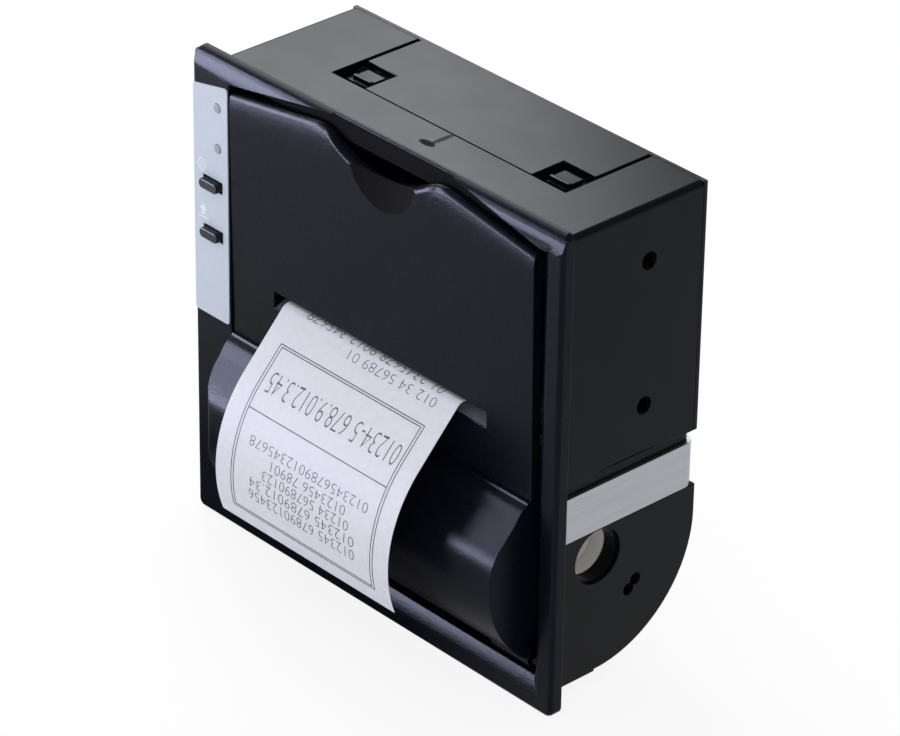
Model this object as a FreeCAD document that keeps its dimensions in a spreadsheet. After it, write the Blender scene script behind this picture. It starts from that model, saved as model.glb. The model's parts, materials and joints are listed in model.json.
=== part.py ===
import FreeCAD, Part
import Sketcher
import math
import os

# Panel-mounted receipt printer, in millimetres.
# X runs to the right, Y to the back, Z up. The origin is the centre of the panel cut-out,
# on the front face of the panel, which is the back of the bezel flange.

doc = FreeCAD.newDocument("ReceiptPrinter")
sheet = doc.addObject("Spreadsheet::Sheet", "Sizes")
Vector = FreeCAD.Vector


# A size carries its value and the formula that gives it.
class Size:
    def __init__(self, value, text):
        self.value = float(value)
        self.text = text

    def __add__(self, other):
        other = as_size(other)
        return Size(self.value + other.value, "(%s + %s)" % (self.text, other.text))

    def __radd__(self, other):
        return as_size(other) + self

    def __sub__(self, other):
        other = as_size(other)
        return Size(self.value - other.value, "(%s - %s)" % (self.text, other.text))

    def __rsub__(self, other):
        return as_size(other) - self

    def __mul__(self, other):
        other = as_size(other)
        return Size(self.value * other.value, "(%s * %s)" % (self.text, other.text))

    def __rmul__(self, other):
        return as_size(other) * self

    def __truediv__(self, other):
        other = as_size(other)
        return Size(self.value / other.value, "(%s / %s)" % (self.text, other.text))

    def __neg__(self):
        return Size(-self.value, "(0 - %s)" % self.text)

    def __float__(self):
        return self.value


def as_size(item):
    if isinstance(item, Size):
        return item
    return Size(item, "%.6f" % item if item >= 0 else "(0 - %.6f)" % -item)


def sine(angle):
    return Size(math.sin(math.radians(angle.value)), "sin(%s)" % angle.text)


def cosine(angle):
    return Size(math.cos(math.radians(angle.value)), "cos(%s)" % angle.text)


def root(item):
    return Size(math.sqrt(item.value), "sqrt(%s)" % item.text)


rows = []


def size(alias, value, meaning):
    rows.append(alias)
    row = str(len(rows))
    sheet.set("A" + row, meaning)
    sheet.set("B" + row, str(value))
    sheet.setAlias("B" + row, alias)
    return Size(value, "Sizes." + alias)


# Bezel and panel
bezel_width = size("bezel_width", 120.0, "bezel, left to right")
bezel_height = size("bezel_height", 119.6, "bezel, bottom to top")
bezel_thick = size("bezel_thick", 3.6, "bezel flange in front of the panel")
bezel_corner = size("bezel_corner", 1.8, "bezel corner radius")
overhang_side = size("overhang_side", 3.4, "flange past the body at each side")
overhang_top = size("overhang_top", 3.3, "flange past the body at the top")
overhang_bottom = size("overhang_bottom", 3.9, "flange past the body at the bottom")
crown_top = size("crown_top", 5.2, "width of the sloped top border")
crown_depth = size("crown_depth", 1.4, "fall of the sloped top border")
edge_round = size("edge_round", 1.2, "rounding along the bezel's outer front edges")
rim_left = size("rim_left", 12.6, "left border, which carries the keypad")
rim_right = size("rim_right", 7.0, "right border")
rim_bottom = size("rim_bottom", 7.6, "bottom border")
rim_shoulder = size("rim_shoulder", 5.3, "top border at the corners of the opening")
rim_slope_depth = size("rim_slope_depth", 2.0, "fall of the border towards the opening")
rim_slope_low = size("rim_slope_low", 4.3, "height of the slope on the bottom border")
rim_slope_side = size("rim_slope_side", 2.6, "width of the slope on the right border")
roof_width = size("roof_width", 38.6, "finger gap in the top border")
roof_offset = size("roof_offset", 2.1, "finger gap centre to the right of the door centre")
roof_strip = size("roof_strip", 1.0, "strip left behind the finger gap")
sleeve_depth = size("sleeve_depth", 7.0, "collar behind the flange")
sleeve_wall = size("sleeve_wall", 1.5, "collar wall")
sleeve_gap = size("sleeve_gap", 0.2, "collar to the body shell")
seat_step = size("seat_step", 0.4, "recess in the flange that takes the shells' front edges")
collar_gap = size("collar_gap", 0.4, "collar to the hub bosses")
overrun = size("overrun", 1.0, "how far a cutting shape runs past the face that it cuts")

# Body shells
shell_wall = size("shell_wall", 1.8, "wall of the body shells")
housing_rise = size("housing_rise", 20.9, "housing's lower edge above the roll axis")
arch_length = size("arch_length", 34.3, "arch in the lower edge of the housing side")
arch_rise = size("arch_rise", 1.1, "rise of that arch")
arch_start = size("arch_start", 3.8, "start of that arch behind the panel")
top_round = size("top_round", 1.5, "rounded top side edges")
recess_radius = size("recess_radius", 2.1, "round side recess")
recess_depth = size("recess_depth", 0.8, "depth of the side recess")
recess_slot_wide = size("recess_slot_wide", 2.1, "slot through the side recess, along Y")
recess_slot_high = size("recess_slot_high", 4.0, "slot through the side recess, along Z")
recess_y = size("recess_y", 25.5, "side recesses behind the panel")
recess_down = size("recess_down", 13.5, "upper side recess below the body's top")
recess_up = size("recess_up", 12.5, "lower side recess above the housing's lower edge")
cover_sheet = size("cover_sheet", 1.2, "wall of the rear cover")
flap_left = size("flap_left", -33.4, "left edge of the rear cover's top flap")
flap_right = size("flap_right", 39.8, "right edge of the rear cover's top flap")
flap_groove = size("flap_groove", 1.0, "groove beside the flap")
flap_seam = size("flap_seam", 15.8, "front edge of the flap behind the panel")
seam_gap = size("seam_gap", 0.3, "seam in front of the flap")
window_wide = size("window_wide", 9.8, "corner window, along X")
window_long = size("window_long", 9.5, "corner window, along Y")
hook_wide = size("hook_wide", 5.8, "snap hook in a window, along X")
hook_long = size("hook_long", 3.7, "hook's plate behind its bar, along Y")
hook_back = size("hook_back", 3.2, "hook's bar behind the flap's front edge")
tongue_past = size("tongue_past", 4.0, "tongue's grip under the flap past the window")
hook_drop = size("hook_drop", 0.5, "hook's bar below the top face")
hook_bar = size("hook_bar", 1.0, "hook's bar, along Y")
hook_step = size("hook_step", 0.4, "hook's plate below its bar")
tongue_lead = size("tongue_lead", 0.5, "tongue in front of the hook's bar")
shelf_thick = size("shelf_thick", 1.4, "tongue under the flap")

# Paper roll and bucket
roll_radius = size("roll_radius", 21.2, "full paper roll")
paper_width = size("paper_width", 58.0, "paper roll width")
paper_shift = size("paper_shift", -1.65, "paper centre from the door centre")
paper_thick = size("paper_thick", 0.2, "paper as modelled")
roll_air = size("roll_air", 6.4, "full roll to the bucket wall")
roll_y = size("roll_y", 13.0, "roll axis behind the panel")
lip_step = size("lip_step", 0.5, "step at the end of the bottom lip")
core_radius = size("core_radius", 8.5, "paper core, outside")
hub_pin_radius = size("hub_pin_radius", 6.0, "hub pin in the core")
run_fit = size("run_fit", 0.08, "radial play of running fits")
hub_pin_long = size("hub_pin_long", 6.5, "hub pin inside the core")
hub_flange_radius = size("hub_flange_radius", 10.0, "hub flange")
hub_flange_thick = size("hub_flange_thick", 2.8, "hub flange thickness")
hub_play = size("hub_play", 0.35, "hub flange to the roll's end")
hub_end_depth = size("hub_end_depth", 8.6, "hub's end inside the body side")
hub_travel = size("hub_travel", 7.5, "push of the sprung hub")
boss_bore = size("boss_bore", 6.2, "radius of the hub bore")
boss_wall = size("boss_wall", 1.9, "wall of the hub boss")
boss_long = size("boss_long", 10.0, "hub boss inside the side wall")
bush_lip = size("bush_lip", 1.0, "wall left in front of the hub bush")
lip_radius = size("lip_radius", 6.7, "hole through that wall")
bush_flange = size("bush_flange", 10.0, "radius of the hub bush's flange")
bush_flange_thick = size("bush_flange_thick", 1.5, "thickness of that flange")
keyhole_radius = size("keyhole_radius", 1.5, "near-end sensor holes")
keyhole_reach = size("keyhole_reach", 15.9, "near-end sensor holes from the roll axis")
keyhole_angle = size("keyhole_angle", -42.0, "first near-end hole about the roll axis")
keyhole_step = size("keyhole_step", -10.0, "second near-end hole from the first")

# Strap
strap_thick = size("strap_thick", 1.0, "steel strap")
strap_below = size("strap_below", 2.7, "strap's upper edge below the housing")
strap_high = size("strap_high", 11.2, "strap's height")
strap_bend = size("strap_bend", 2.0, "inner bend radius of the strap")
strap_screw_x = size("strap_screw_x", 32.0, "strap screws from the centre")
strap_front = size("strap_front", 0.6, "strap's ends behind the flange")

# Door
door_gap_left = size("door_gap_left", 0.5, "door to the left border")
door_gap_right = size("door_gap_right", 1.1, "door to the right border")
door_gap_top = size("door_gap_top", 1.7, "door to the top border")
sill_height = size("sill_height", 44.3, "door panel's foot above the bottom border")
door_thick = size("door_thick", 2.6, "door panel")
door_proud = size("door_proud", 0.4, "door panel in front of the flange, at its shoulders")
door_lean = size("door_lean", 1.0, "lean of the door panel between shoulders and foot")
door_rise = size("door_rise", 4.5, "rise from the shoulders to the finger notch")
notch_wide = size("notch_wide", 34.8, "finger notch")
notch_dip = size("notch_dip", 6.3, "depth of the finger notch")
notch_round = size("notch_round", 10.0, "rounding where the finger notch runs out into the door's top")
door_round = size("door_round", 1.5, "rounding along the door's top front edge")
scoop_radius = size("scoop_radius", 29.0, "ball that forms the thumb scoop")
scoop_reach = size("scoop_reach", 10.3, "radius of the scoop on the door face")
scoop_drop = size("scoop_drop", 13.4, "scoop's lowest point below the notch ends")
scoop_shift = size("scoop_shift", 1.5, "scoop to the right of the door's centre")
slot_rise = size("slot_rise", 12.3, "paper slot above the door's foot")
slot_high = size("slot_high", 4.05, "paper slot height")
slot_pass = size("slot_pass", 2.9, "paper above the slot's floor")
slot_side = size("slot_side", 6.0, "paper slot past each edge of the paper")
slot_ramp_long = size("slot_ramp_long", 4.9, "ramp in the slot, along Y")
slot_ramp_rise = size("slot_ramp_rise", 1.7, "rise of that ramp")
tear_gap = size("tear_gap", 0.2, "tear bar above the slot")
tear_bevel = size("tear_bevel", 1.0, "height of the tear bar's sharpened edge")
tear_past = size("tear_past", 2.0, "tear bar past each end of the slot")
tear_high = size("tear_high", 3.2, "tear bar height")
tear_thick = size("tear_thick", 0.8, "tear bar thickness")

# Roll cover
cover_wall = size("cover_wall", 1.8, "roll cover wall")
cover_gap = size("cover_gap", 1.3, "full roll to the cover's ramp")
cover_room = size("cover_room", 4.4, "full roll to the cover's nose")
cover_back = size("cover_back", 1.0, "back edge of the cover's cheeks")
ramp_angle = size("ramp_angle", 48.0, "cover's ramp from the horizontal")
cover_blend = size("cover_blend", 12.0, "rounding between the cover's ramp and drum")
cover_round = size("cover_round", 6.4, "rounding of the cover's left end, seen from above")
draft_right = size("draft_right", 0.5, "taper of the cover's right end")
hinge_back = size("hinge_back", 3.1, "hinge axis behind the flange's front")
hinge_rise = size("hinge_rise", 3.6, "hinge axis above the bottom border")
hinge_pin_radius = size("hinge_pin_radius", 1.5, "hinge pin")
hinge_barrel_radius = size("hinge_barrel_radius", 2.4, "hinge barrel")
hinge_barrel_long = size("hinge_barrel_long", 12.0, "hinge barrel length")
hinge_pin_long = size("hinge_pin_long", 10.0, "hinge pin length")
hinge_pin_seat = size("hinge_pin_seat", 1.5, "pin length seated in the bezel past the opening")
hinge_boss_deep = size("hinge_boss_deep", 3.0, "hinge boss behind the flange")
hinge_boss_half = size("hinge_boss_half", 3.2, "half height of the hinge boss")

# Keypad
label_thick = size("label_thick", 0.3, "keypad label")
label_edge = size("label_edge", 0.7, "label to the bezel's left edge")
label_inset = size("label_inset", 0.2, "label to the opening")
label_foot = size("label_foot", 66.2, "label's lower edge below the bezel's top")
label_left_down = size("label_left_down", 8.7, "label's top left corner below the bezel's top")
label_right_down = size("label_right_down", 6.3, "label's top right corner below the bezel's top")
label_corner = size("label_corner", 0.8, "label corner radius")
key_in = size("key_in", 7.2, "buttons from the bezel's left edge")
key_high_down = size("key_high_down", 32.0, "upper button below the bezel's top")
key_low_down = size("key_low_down", 44.6, "lower button below the bezel's top")
key_long = size("key_long", 6.2, "button bar length")
key_tall = size("key_tall", 2.4, "button bar height")
key_gap = size("key_gap", 0.3, "button to its opening")
key_proud = size("key_proud", 1.7, "button in front of the label")
key_travel = size("key_travel", 0.6, "button travel")
key_flange_tall = size("key_flange_tall", 4.4, "button's retaining flange")
key_flange_thick = size("key_flange_thick", 0.6, "thickness of that flange")
key_stem_radius = size("key_stem_radius", 1.0, "button stem")
pocket_wall = size("pocket_wall", 1.6, "bezel wall in front of the keypad")
pocket_edge = size("pocket_edge", 3.4, "keypad pocket to the bezel's left edge")
pocket_rib = size("pocket_rib", 1.0, "rib between keypad pocket and opening")
led_in = size("led_in", 9.1, "lamps from the bezel's left edge")
led_high_down = size("led_high_down", 12.2, "upper lamp below the bezel's top")
led_low_down = size("led_low_down", 22.4, "lower lamp below the bezel's top")
led_radius = size("led_radius", 1.1, "lamp radius")
led_gap = size("led_gap", 0.1, "lamp to its hole")
led_proud = size("led_proud", 0.3, "lamp in front of the label")
key_board_y = size("key_board_y", 1.6, "keypad board behind the panel")
board_thick = size("board_thick", 1.6, "circuit board thickness")
key_board_wide = size("key_board_wide", 6.4, "keypad board width")
key_board_foot = size("key_board_foot", 65.8, "keypad board's lower edge below the bezel's top")
key_board_down = size("key_board_down", 7.2, "keypad board's upper edge below the bezel's top")
switch_wide = size("switch_wide", 4.5, "switch body")
switch_high = size("switch_high", 2.0, "switch body height")
switch_shift = size("switch_shift", 0.4, "switch centre to the right of the button")
post_tall = size("post_tall", 3.4, "keypad board post")

# Print mechanism
platen_y = size("platen_y", 9.5, "platen axis behind the panel")
platen_radius = size("platen_radius", 5.0, "platen rubber")
platen_past = size("platen_past", 0.75, "platen rubber past each edge of the paper")
shaft_radius = size("shaft_radius", 2.0, "platen shaft")
nip_gap = size("nip_gap", 0.3, "paper to the platen and to the head")
bush_radius = size("bush_radius", 3.8, "platen bush")
bush_end = size("bush_end", 0.5, "bush past the mechanism plate")
notch_gap = size("notch_gap", 0.3, "bush to its open notch")
notch_flare = size("notch_flare", 1.6, "extra height at the notch mouth")
arm_past = size("arm_past", 1.65, "carrier arm past the paper's half width")
arm_thick = size("arm_thick", 1.9, "carrier arm")
arm_margin = size("arm_margin", 1.6, "carrier arm past the bush")
beam_back = size("beam_back", 3.2, "back of the carrier's cross beam")
plate_gap = size("plate_gap", 0.7, "carrier arm to the mechanism plate")
plate_thick = size("plate_thick", 1.0, "mechanism sheet steel")
plate_front = size("plate_front", 3.5, "front of the mechanism plates")
plate_back = size("plate_back", 31.0, "back of the mechanism plates")
plate_rise = size("plate_rise", 32.0, "top of the mechanism plates above the platen")
floor_front = size("floor_front", 25.0, "front edge of the housing floor")
bridge_rise = size("bridge_rise", 19.0, "underside of the spring bridge above the platen")
bridge_front = size("bridge_front", 6.5, "front of the spring bridge")
bridge_back = size("bridge_back", 12.6, "back of the spring bridge")
wall_rise = size("wall_rise", 14.0, "top of the mechanism's back wall above the platen")
gear_module = size("gear_module", 0.5, "gear module")
gear_wide = size("gear_wide", 4.0, "gear width")
gear_gap = size("gear_gap", 1.0, "gears to the mechanism plate")
gear_space = size("gear_space", 0.1, "extra centre distance of a gear pair")
gear_backlash = size("gear_backlash", 0.14, "tooth backlash")
shaft_past = size("shaft_past", 0.6, "shafts and pins past the gears")
pin_radius = size("pin_radius", 1.25, "idler pin")
idler_b_angle = size("idler_b_angle", 75.5, "second idler above the first, from the horizontal")
pinion_angle = size("pinion_angle", 90.0, "pinion above the second idler, from the horizontal")
motor_radius = size("motor_radius", 7.5, "feed motor")
motor_long = size("motor_long", 18.0, "feed motor length")
motor_shaft = size("motor_shaft", 1.0, "motor shaft radius")
shaft_seat = size("shaft_seat", 3.0, "motor shaft inside the motor")
head_past = size("head_past", 0.85, "print head past each edge of the paper")
head_front = size("head_front", 5.0, "print head in front of the print line")
head_back = size("head_back", 8.6, "print head behind the print line")
head_thick = size("head_thick", 4.4, "print head thickness")
ceramic_thick = size("ceramic_thick", 0.8, "print head ceramic")
ceramic_half = size("ceramic_half", 4.4, "print head ceramic, half width")
pivot_along = size("pivot_along", 6.2, "head pivot behind the print line")
pivot_up = size("pivot_up", 6.0, "head pivot above the print line")
pivot_lug = size("pivot_lug", 2.2, "head lug round the pivot")
axle_radius = size("axle_radius", 1.5, "head pivot axle")
head_spring_radius = size("head_spring_radius", 2.0, "head spring, outside")
spring_wire = size("spring_wire", 0.5, "spring wire")
spring_gap = size("spring_gap", 0.3, "spring to the parts that it pushes")
head_spring_x = size("head_spring_x", 20.0, "head springs from the centre")
chassis_screw_x = size("chassis_screw_x", 22.0, "chassis screws from the centre")
sensor_wide = size("sensor_wide", 6.0, "paper sensor width")
sensor_long = size("sensor_long", 3.0, "paper sensor depth")
sensor_high = size("sensor_high", 3.0, "paper sensor height")

# Receipt
strip_angle = size("strip_angle", 46.7, "receipt's fall out of the slot")
strip_fold = size("strip_fold", -3.7, "where the level and falling runs of the receipt would meet")
strip_bend = size("strip_bend", 2.0, "bend radius of the receipt in the slot")
strip_run = size("strip_run", 17.4, "falling run of the receipt from that fold")
strip_curl = size("strip_curl", 31.7, "receipt's curl radius")
strip_turn = size("strip_turn", 64.3, "receipt's curl")
strip_start = size("strip_start", 6.0, "receipt's tail behind the panel")
web_lead = size("web_lead", 0.5, "paper web past the print line")

# Electronics
board_wide = size("board_wide", 96.0, "main board width")
board_down = size("board_down", 8.5, "main board's upper edge below the body's top")
board_rise = size("board_rise", 7.1, "main board's lower edge above the housing's lower edge")
board_gap = size("board_gap", 5.4, "main board to the rear cover")
board_inset = size("board_inset", 5.0, "board screws from the edges")
boss_radius = size("boss_radius", 2.8, "board boss radius")
screw_radius = size("screw_radius", 1.2, "screw shank")
screw_head = size("screw_head", 2.3, "screw head radius")
screw_cap = size("screw_cap", 1.3, "screw head height")
screw_long = size("screw_long", 4.0, "screw shank length")
socket_proud = size("socket_proud", 0.6, "sockets past the rear cover")
socket_gap = size("socket_gap", 0.3, "sockets to their cut-outs")
socket_wall = size("socket_wall", 1.0, "socket wall")
power_wide = size("power_wide", 11.0, "power socket width")
power_tall = size("power_tall", 8.0, "power socket height")
power_pitch = size("power_pitch", 4.0, "power contact spacing")
power_x = size("power_x", -30.0, "power socket across the back")
data_wide = size("data_wide", 20.0, "data socket width")
data_tall = size("data_tall", 9.0, "data socket height")
data_x = size("data_x", 12.0, "data socket across the back")
socket_rise = size("socket_rise", 19.1, "sockets above the housing's lower edge")
contact_pitch = size("contact_pitch", 2.54, "data contact spacing")
contact_wide = size("contact_wide", 0.64, "square contact")
contact_depth = size("contact_depth", 2.5, "contacts' ends inside the back face")
chip_thick = size("chip_thick", 1.6, "chips on the main board")

platen_teeth = 22
idler_a_teeth = 20
idler_b_teeth = 30
pinion_teeth = 12
data_columns = 5
big = 200.0
doc.recompute()

# Derived places
half_w = bezel_width / 2
half_h = bezel_height / 2
front = -bezel_thick
seat = -seat_step
body_half = half_w - overhang_side
body_top = half_h - overhang_top
body_bottom = -half_h + overhang_bottom
inner_half = body_half - shell_wall
bucket_radius = roll_radius + roll_air + shell_wall
roll_z = body_bottom + lip_step + bucket_radius
housing_foot = roll_z + housing_rise
recess_high = body_top - recess_down
recess_low = housing_foot + recess_up
body_back = roll_y + bucket_radius
cover_front = body_back - cover_sheet
key_x = -half_w + key_in
led_x = -half_w + led_in
open_left = -half_w + rim_left
open_right = half_w - rim_right
open_bottom = -half_h + rim_bottom
open_top = half_h - rim_shoulder
door_left = open_left + door_gap_left
door_right = open_right - door_gap_right
door_mid = (door_left + door_right) / 2
door_shoulder = open_top - door_gap_top
door_peak = door_shoulder + door_rise
door_sill = open_bottom + sill_height
slot_low = door_sill + slot_rise
slot_top = slot_low + slot_high
hinge_y = front + hinge_back
hinge_z = open_bottom + hinge_rise
paper_mid = door_mid + paper_shift
paper_left = paper_mid - paper_width / 2
paper_right = paper_mid + paper_width / 2
slot_left = door_mid - paper_width / 2 - slot_side
slot_right = door_mid + paper_width / 2 + slot_side
strap_top = housing_foot - strap_below
strap_low = strap_top - strap_high
label_low = half_h - label_foot
label_left_top = half_h - label_left_down
label_right_top = half_h - label_right_down
key_high = half_h - key_high_down
key_low = half_h - key_low_down
led_high = half_h - led_high_down
led_low = half_h - led_low_down
key_board_low = half_h - key_board_foot
key_board_top = half_h - key_board_down
platen_z = slot_low + slot_pass - platen_radius - nip_gap
arm_inner = paper_width / 2 + arm_past
plate_inner = arm_inner + arm_thick + plate_gap
platen_half = paper_width / 2 + platen_past
head_half = paper_width / 2 + head_past
beam_low = platen_z - bush_radius - arm_margin
plate_top = platen_z + plate_rise
bridge_z = platen_z + bridge_rise
wall_top = platen_z + wall_rise
board_low = housing_foot + board_rise
board_top = body_top - board_down
socket_z = housing_foot + socket_rise


# Y of the leaning door face at a height.
def door_face(height):
    return front - door_proud + door_lean * (door_shoulder - height) / (door_shoulder - door_sill)


def door_inside(height):
    return door_face(height) + door_thick


# Builders
turned = {
    "x": FreeCAD.Rotation(Vector(0, 1, 0), 90),
    "y": FreeCAD.Rotation(Vector(1, 0, 0), -90),
    "z": FreeCAD.Rotation(),
}
planes = {"XY": ("XY_Plane", "z"), "XZ": ("XZ_Plane", "y"), "YZ": ("YZ_Plane", "x")}
nodes = []


def bind(item, prop, value):
    item.setExpression(prop, as_size(value).text)


def node(label, item):
    item.Label = label
    nodes.append((label, item))
    return item


def box(name, x, y, z):
    item = doc.addObject("Part::Box", name)
    for prop, axis, (low, high) in (("Length", "x", x), ("Width", "y", y), ("Height", "z", z)):
        bind(item, prop, as_size(high) - low)
        bind(item, "Placement.Base." + axis, low)
    return item


def rod(name, axis, radius, span, centre):
    item = doc.addObject("Part::Cylinder", name)
    bind(item, "Radius", radius)
    bind(item, "Height", as_size(span[1]) - span[0])
    item.Placement = FreeCAD.Placement(Vector(), turned[axis])
    across = [letter for letter in "xyz" if letter != axis]
    places = {across[0]: centre[0], across[1]: centre[1], axis: span[0]}
    for letter, place in places.items():
        bind(item, "Placement.Base." + letter, place)
    return item


def prism(name, plane, points, span, rounds=None):
    role, axis = planes[plane]
    body = doc.addObject("PartDesign::Body", name)
    outline = body.newObject("Sketcher::SketchObject", name + "_outline")
    base = [item for item in body.Origin.OriginFeatures if item.Role == role][0]
    outline.AttachmentSupport = (base, [""])
    outline.MapMode = "FlatFace"
    corners = [(as_size(u), as_size(v)) for u, v in points]
    count = len(corners)
    for index, (u, v) in enumerate(corners):
        ahead = corners[(index + 1) % count]
        start = Vector(u.value, v.value, 0)
        end = Vector(ahead[0].value, ahead[1].value, 0)
        outline.addGeometry(Part.LineSegment(start, end), False)
    for index in range(count):
        outline.addConstraint(Sketcher.Constraint("Coincident", index, 2, (index + 1) % count, 1))
    for index, corner in enumerate(corners):
        for kind, place in zip(("DistanceX", "DistanceY"), corner):
            number = outline.addConstraint(Sketcher.Constraint(kind, -1, 1, index, 1, place.value))
            bind(outline, "Constraints[%d]" % number, place)
    pad = body.newObject("PartDesign::Pad", name + "_pad")
    pad.Profile = outline
    pad.Reversed = plane == "XZ"
    bind(pad, "Length", as_size(span[1]) - span[0])
    if rounds:
        doc.recompute()
        chosen = []
        for corner, radius in rounds:
            where = [corners[corner][0].value, corners[corner][1].value]
            for number, edge in enumerate(pad.Shape.Edges):
                ends = [vertex.Point for vertex in edge.Vertexes]
                across = {"x": (1, 2), "y": (0, 2), "z": (0, 1)}[axis]
                flat = [[point[way] for way in across] for point in ends]
                if all(math.dist(place, where) < 1e-4 for place in flat):
                    chosen.append("Edge%d" % (number + 1))
        fillet = body.newObject("PartDesign::Fillet", name + "_fillet")
        fillet.Base = (pad, chosen)
        bind(fillet, "Radius", rounds[0][1])
        body.Tip = fillet
    bind(body, "Placement.Base." + axis, span[0])
    return body


def fuse(name, *items):
    item = doc.addObject("Part::MultiFuse", name)
    item.Shapes = list(items)
    item.Refine = True
    return item


def cut(name, base, *tools):
    item = doc.addObject("Part::Cut", name)
    item.Base = base
    item.Tool = tools[0] if len(tools) == 1 else fuse(name + "_tools", *tools)
    item.Refine = True
    return item


def common(name, *items):
    item = doc.addObject("Part::MultiCommon", name)
    item.Shapes = list(items)
    item.Refine = True
    return item


def group(name, *items):
    item = doc.addObject("Part::Compound", name)
    item.Links = list(items)
    return item


def rounded(name, base, radius, chosen):
    doc.recompute()
    item = doc.addObject("Part::Fillet", name)
    item.Base = base
    edges = enumerate(base.Shape.Edges)
    item.Edges = [(number + 1, radius.value, radius.value) for number, edge in edges if chosen(edge)]
    return item


def feature(name, shape):
    item = doc.addObject("Part::Feature", name)
    item.Shape = shape
    return item


def tube(name, axis, outer, inner, span, centre):
    reach = (as_size(span[0]) - overrun, as_size(span[1]) + overrun)
    bore = rod(name + "_inner", axis, inner, reach, centre)
    return cut(name, rod(name + "_outer", axis, outer, span, centre), bore)


# A screw whose head lies on a face and whose shank runs along +axis or -axis from it.
def screw(name, axis, seat, way, centre):
    if way > 0:
        head_span = (as_size(seat) - screw_cap, seat)
        shank_span = (seat, as_size(seat) + screw_long)
    else:
        head_span = (seat, as_size(seat) + screw_cap)
        shank_span = (as_size(seat) - screw_long, seat)
    head = rod(name + "_head", axis, screw_head, head_span, centre)
    return fuse(name, head, rod(name + "_shank", axis, screw_radius, shank_span, centre))


def screw_hole(name, axis, seat, way, centre):
    span = (seat, as_size(seat) + screw_long) if way > 0 else (as_size(seat) - screw_long, seat)
    return rod(name, axis, screw_radius, span, centre)


# Front bezel
def front_bezel():
    blank = prism(
        "bezel_blank", "XZ",
        [(-half_w, -half_h), (half_w, -half_h), (half_w, half_h), (-half_w, half_h)], (front, 0),
        [(corner, bezel_corner) for corner in range(4)],
    )
    eased = rounded(
        "bezel_eased", blank, edge_round,
        lambda edge: all(abs(vertex.Point.y - front.value) < 1e-4 for vertex in edge.Vertexes),
    )
    seat_x = body_half + sleeve_gap
    plate = cut("bezel_plate", eased, box(
        "shell_seat", (-seat_x, seat_x), (seat, overrun), (body_bottom - sleeve_gap, body_top + sleeve_gap),
    ))
    sleeve_x = inner_half - sleeve_gap
    sleeve_top = body_top - shell_wall - sleeve_gap
    sleeve_low = body_bottom + shell_wall + sleeve_gap
    collar = cut(
        "bezel_collar",
        box("collar_out", (-sleeve_x, sleeve_x), (seat, sleeve_depth), (sleeve_low, sleeve_top)),
        box("collar_in", (-sleeve_x + sleeve_wall, sleeve_x - sleeve_wall),
            (seat - overrun, sleeve_depth + overrun), (sleeve_low + sleeve_wall, sleeve_top - sleeve_wall)),
        box("collar_keypad", (-half_w, open_left), (seat - overrun, sleeve_depth + overrun),
            (key_board_low - post_tall, sleeve_top - sleeve_wall)),
        rod("collar_hub", "x", bush_flange + collar_gap, (-half_w, half_w), (roll_y, roll_z)),
    )
    bosses = []
    posts = []
    boss_z = (hinge_z - hinge_boss_half, hinge_z + hinge_boss_half)
    bosses.append(box("boss_right", (open_right, sleeve_x), (seat, hinge_boss_deep), boss_z))
    bosses.append(box("boss_left", (-sleeve_x, open_left), (seat, hinge_boss_deep), boss_z))
    board_left = -inner_half + sleeve_gap
    board_right = board_left + key_board_wide
    for name, low in (("low", key_board_low), ("top", key_board_top - post_tall)):
        posts.append(box("post_" + name, (board_left, board_right), (seat, key_board_y),
                         (low, low + post_tall)))
    solid = fuse("bezel_solid", plate, collar, *bosses, *posts)

    slope = half_h - crown_top
    cuts = [
        prism("crown_cut", "YZ", [
            (front - crown_depth / 4, slope - crown_top / 4),
            (front + crown_depth * 1.25, half_h + crown_top / 4),
            (front - crown_depth, half_h + crown_top / 4),
        ], (-half_w - overrun, half_w + overrun)),
        box("opening", (open_left, open_right), (front - overrun, hinge_boss_deep + overrun),
            (open_bottom, open_top)),
    ]
    roof_mid = door_mid + roof_offset
    roof_from = roof_mid - roof_width / 2
    roof_to = roof_mid + roof_width / 2
    cuts.append(prism("roof", "XZ", [
        (open_left, open_top - overrun), (open_right, open_top - overrun), (open_right, open_top),
        (roof_to, half_h), (roof_to, half_h + overrun), (roof_from, half_h + overrun), (roof_from, half_h),
        (open_left, open_top),
    ], (front - overrun, -roof_strip)))
    cuts.append(rim_slope())
    pocket_left = -half_w + pocket_edge
    pocket_right = open_left - pocket_rib
    cuts.append(box("keypad_pocket", (pocket_left, pocket_right), (front + pocket_wall, overrun),
                    (key_low - key_flange_tall, key_high + key_flange_tall)))
    for name, height in (("high", key_high), ("low", key_low)):
        half_long = key_long / 2 + key_gap
        half_tall = key_tall / 2 + key_gap
        cuts.append(box("key_hole_" + name, (key_x - half_long, key_x + half_long), (front - overrun, 0),
                        (height - half_tall, height + half_tall)))
    for name, height in (("high", led_high), ("low", led_low)):
        cuts.append(rod("led_hole_" + name, "y", led_radius + led_gap, (front - overrun, overrun),
                        (led_x, height)))
    for side, span in hinge_spans().items():
        cuts.append(rod("pin_hole_" + side, "x", hinge_pin_radius, span, (hinge_y, hinge_z)))
    board_back_y = key_board_y + board_thick
    for name, height in key_screw_heights():
        place = (key_screw_x(), height)
        cuts.append(screw_hole("key_screw_hole_" + name, "y", board_back_y, -1, place))
        cuts.append(rod("key_screw_room_" + name, "y", screw_head + collar_gap,
                        (board_back_y, sleeve_depth + overrun), place))
    return node("front_bezel", cut("bezel", solid, *cuts))


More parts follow.
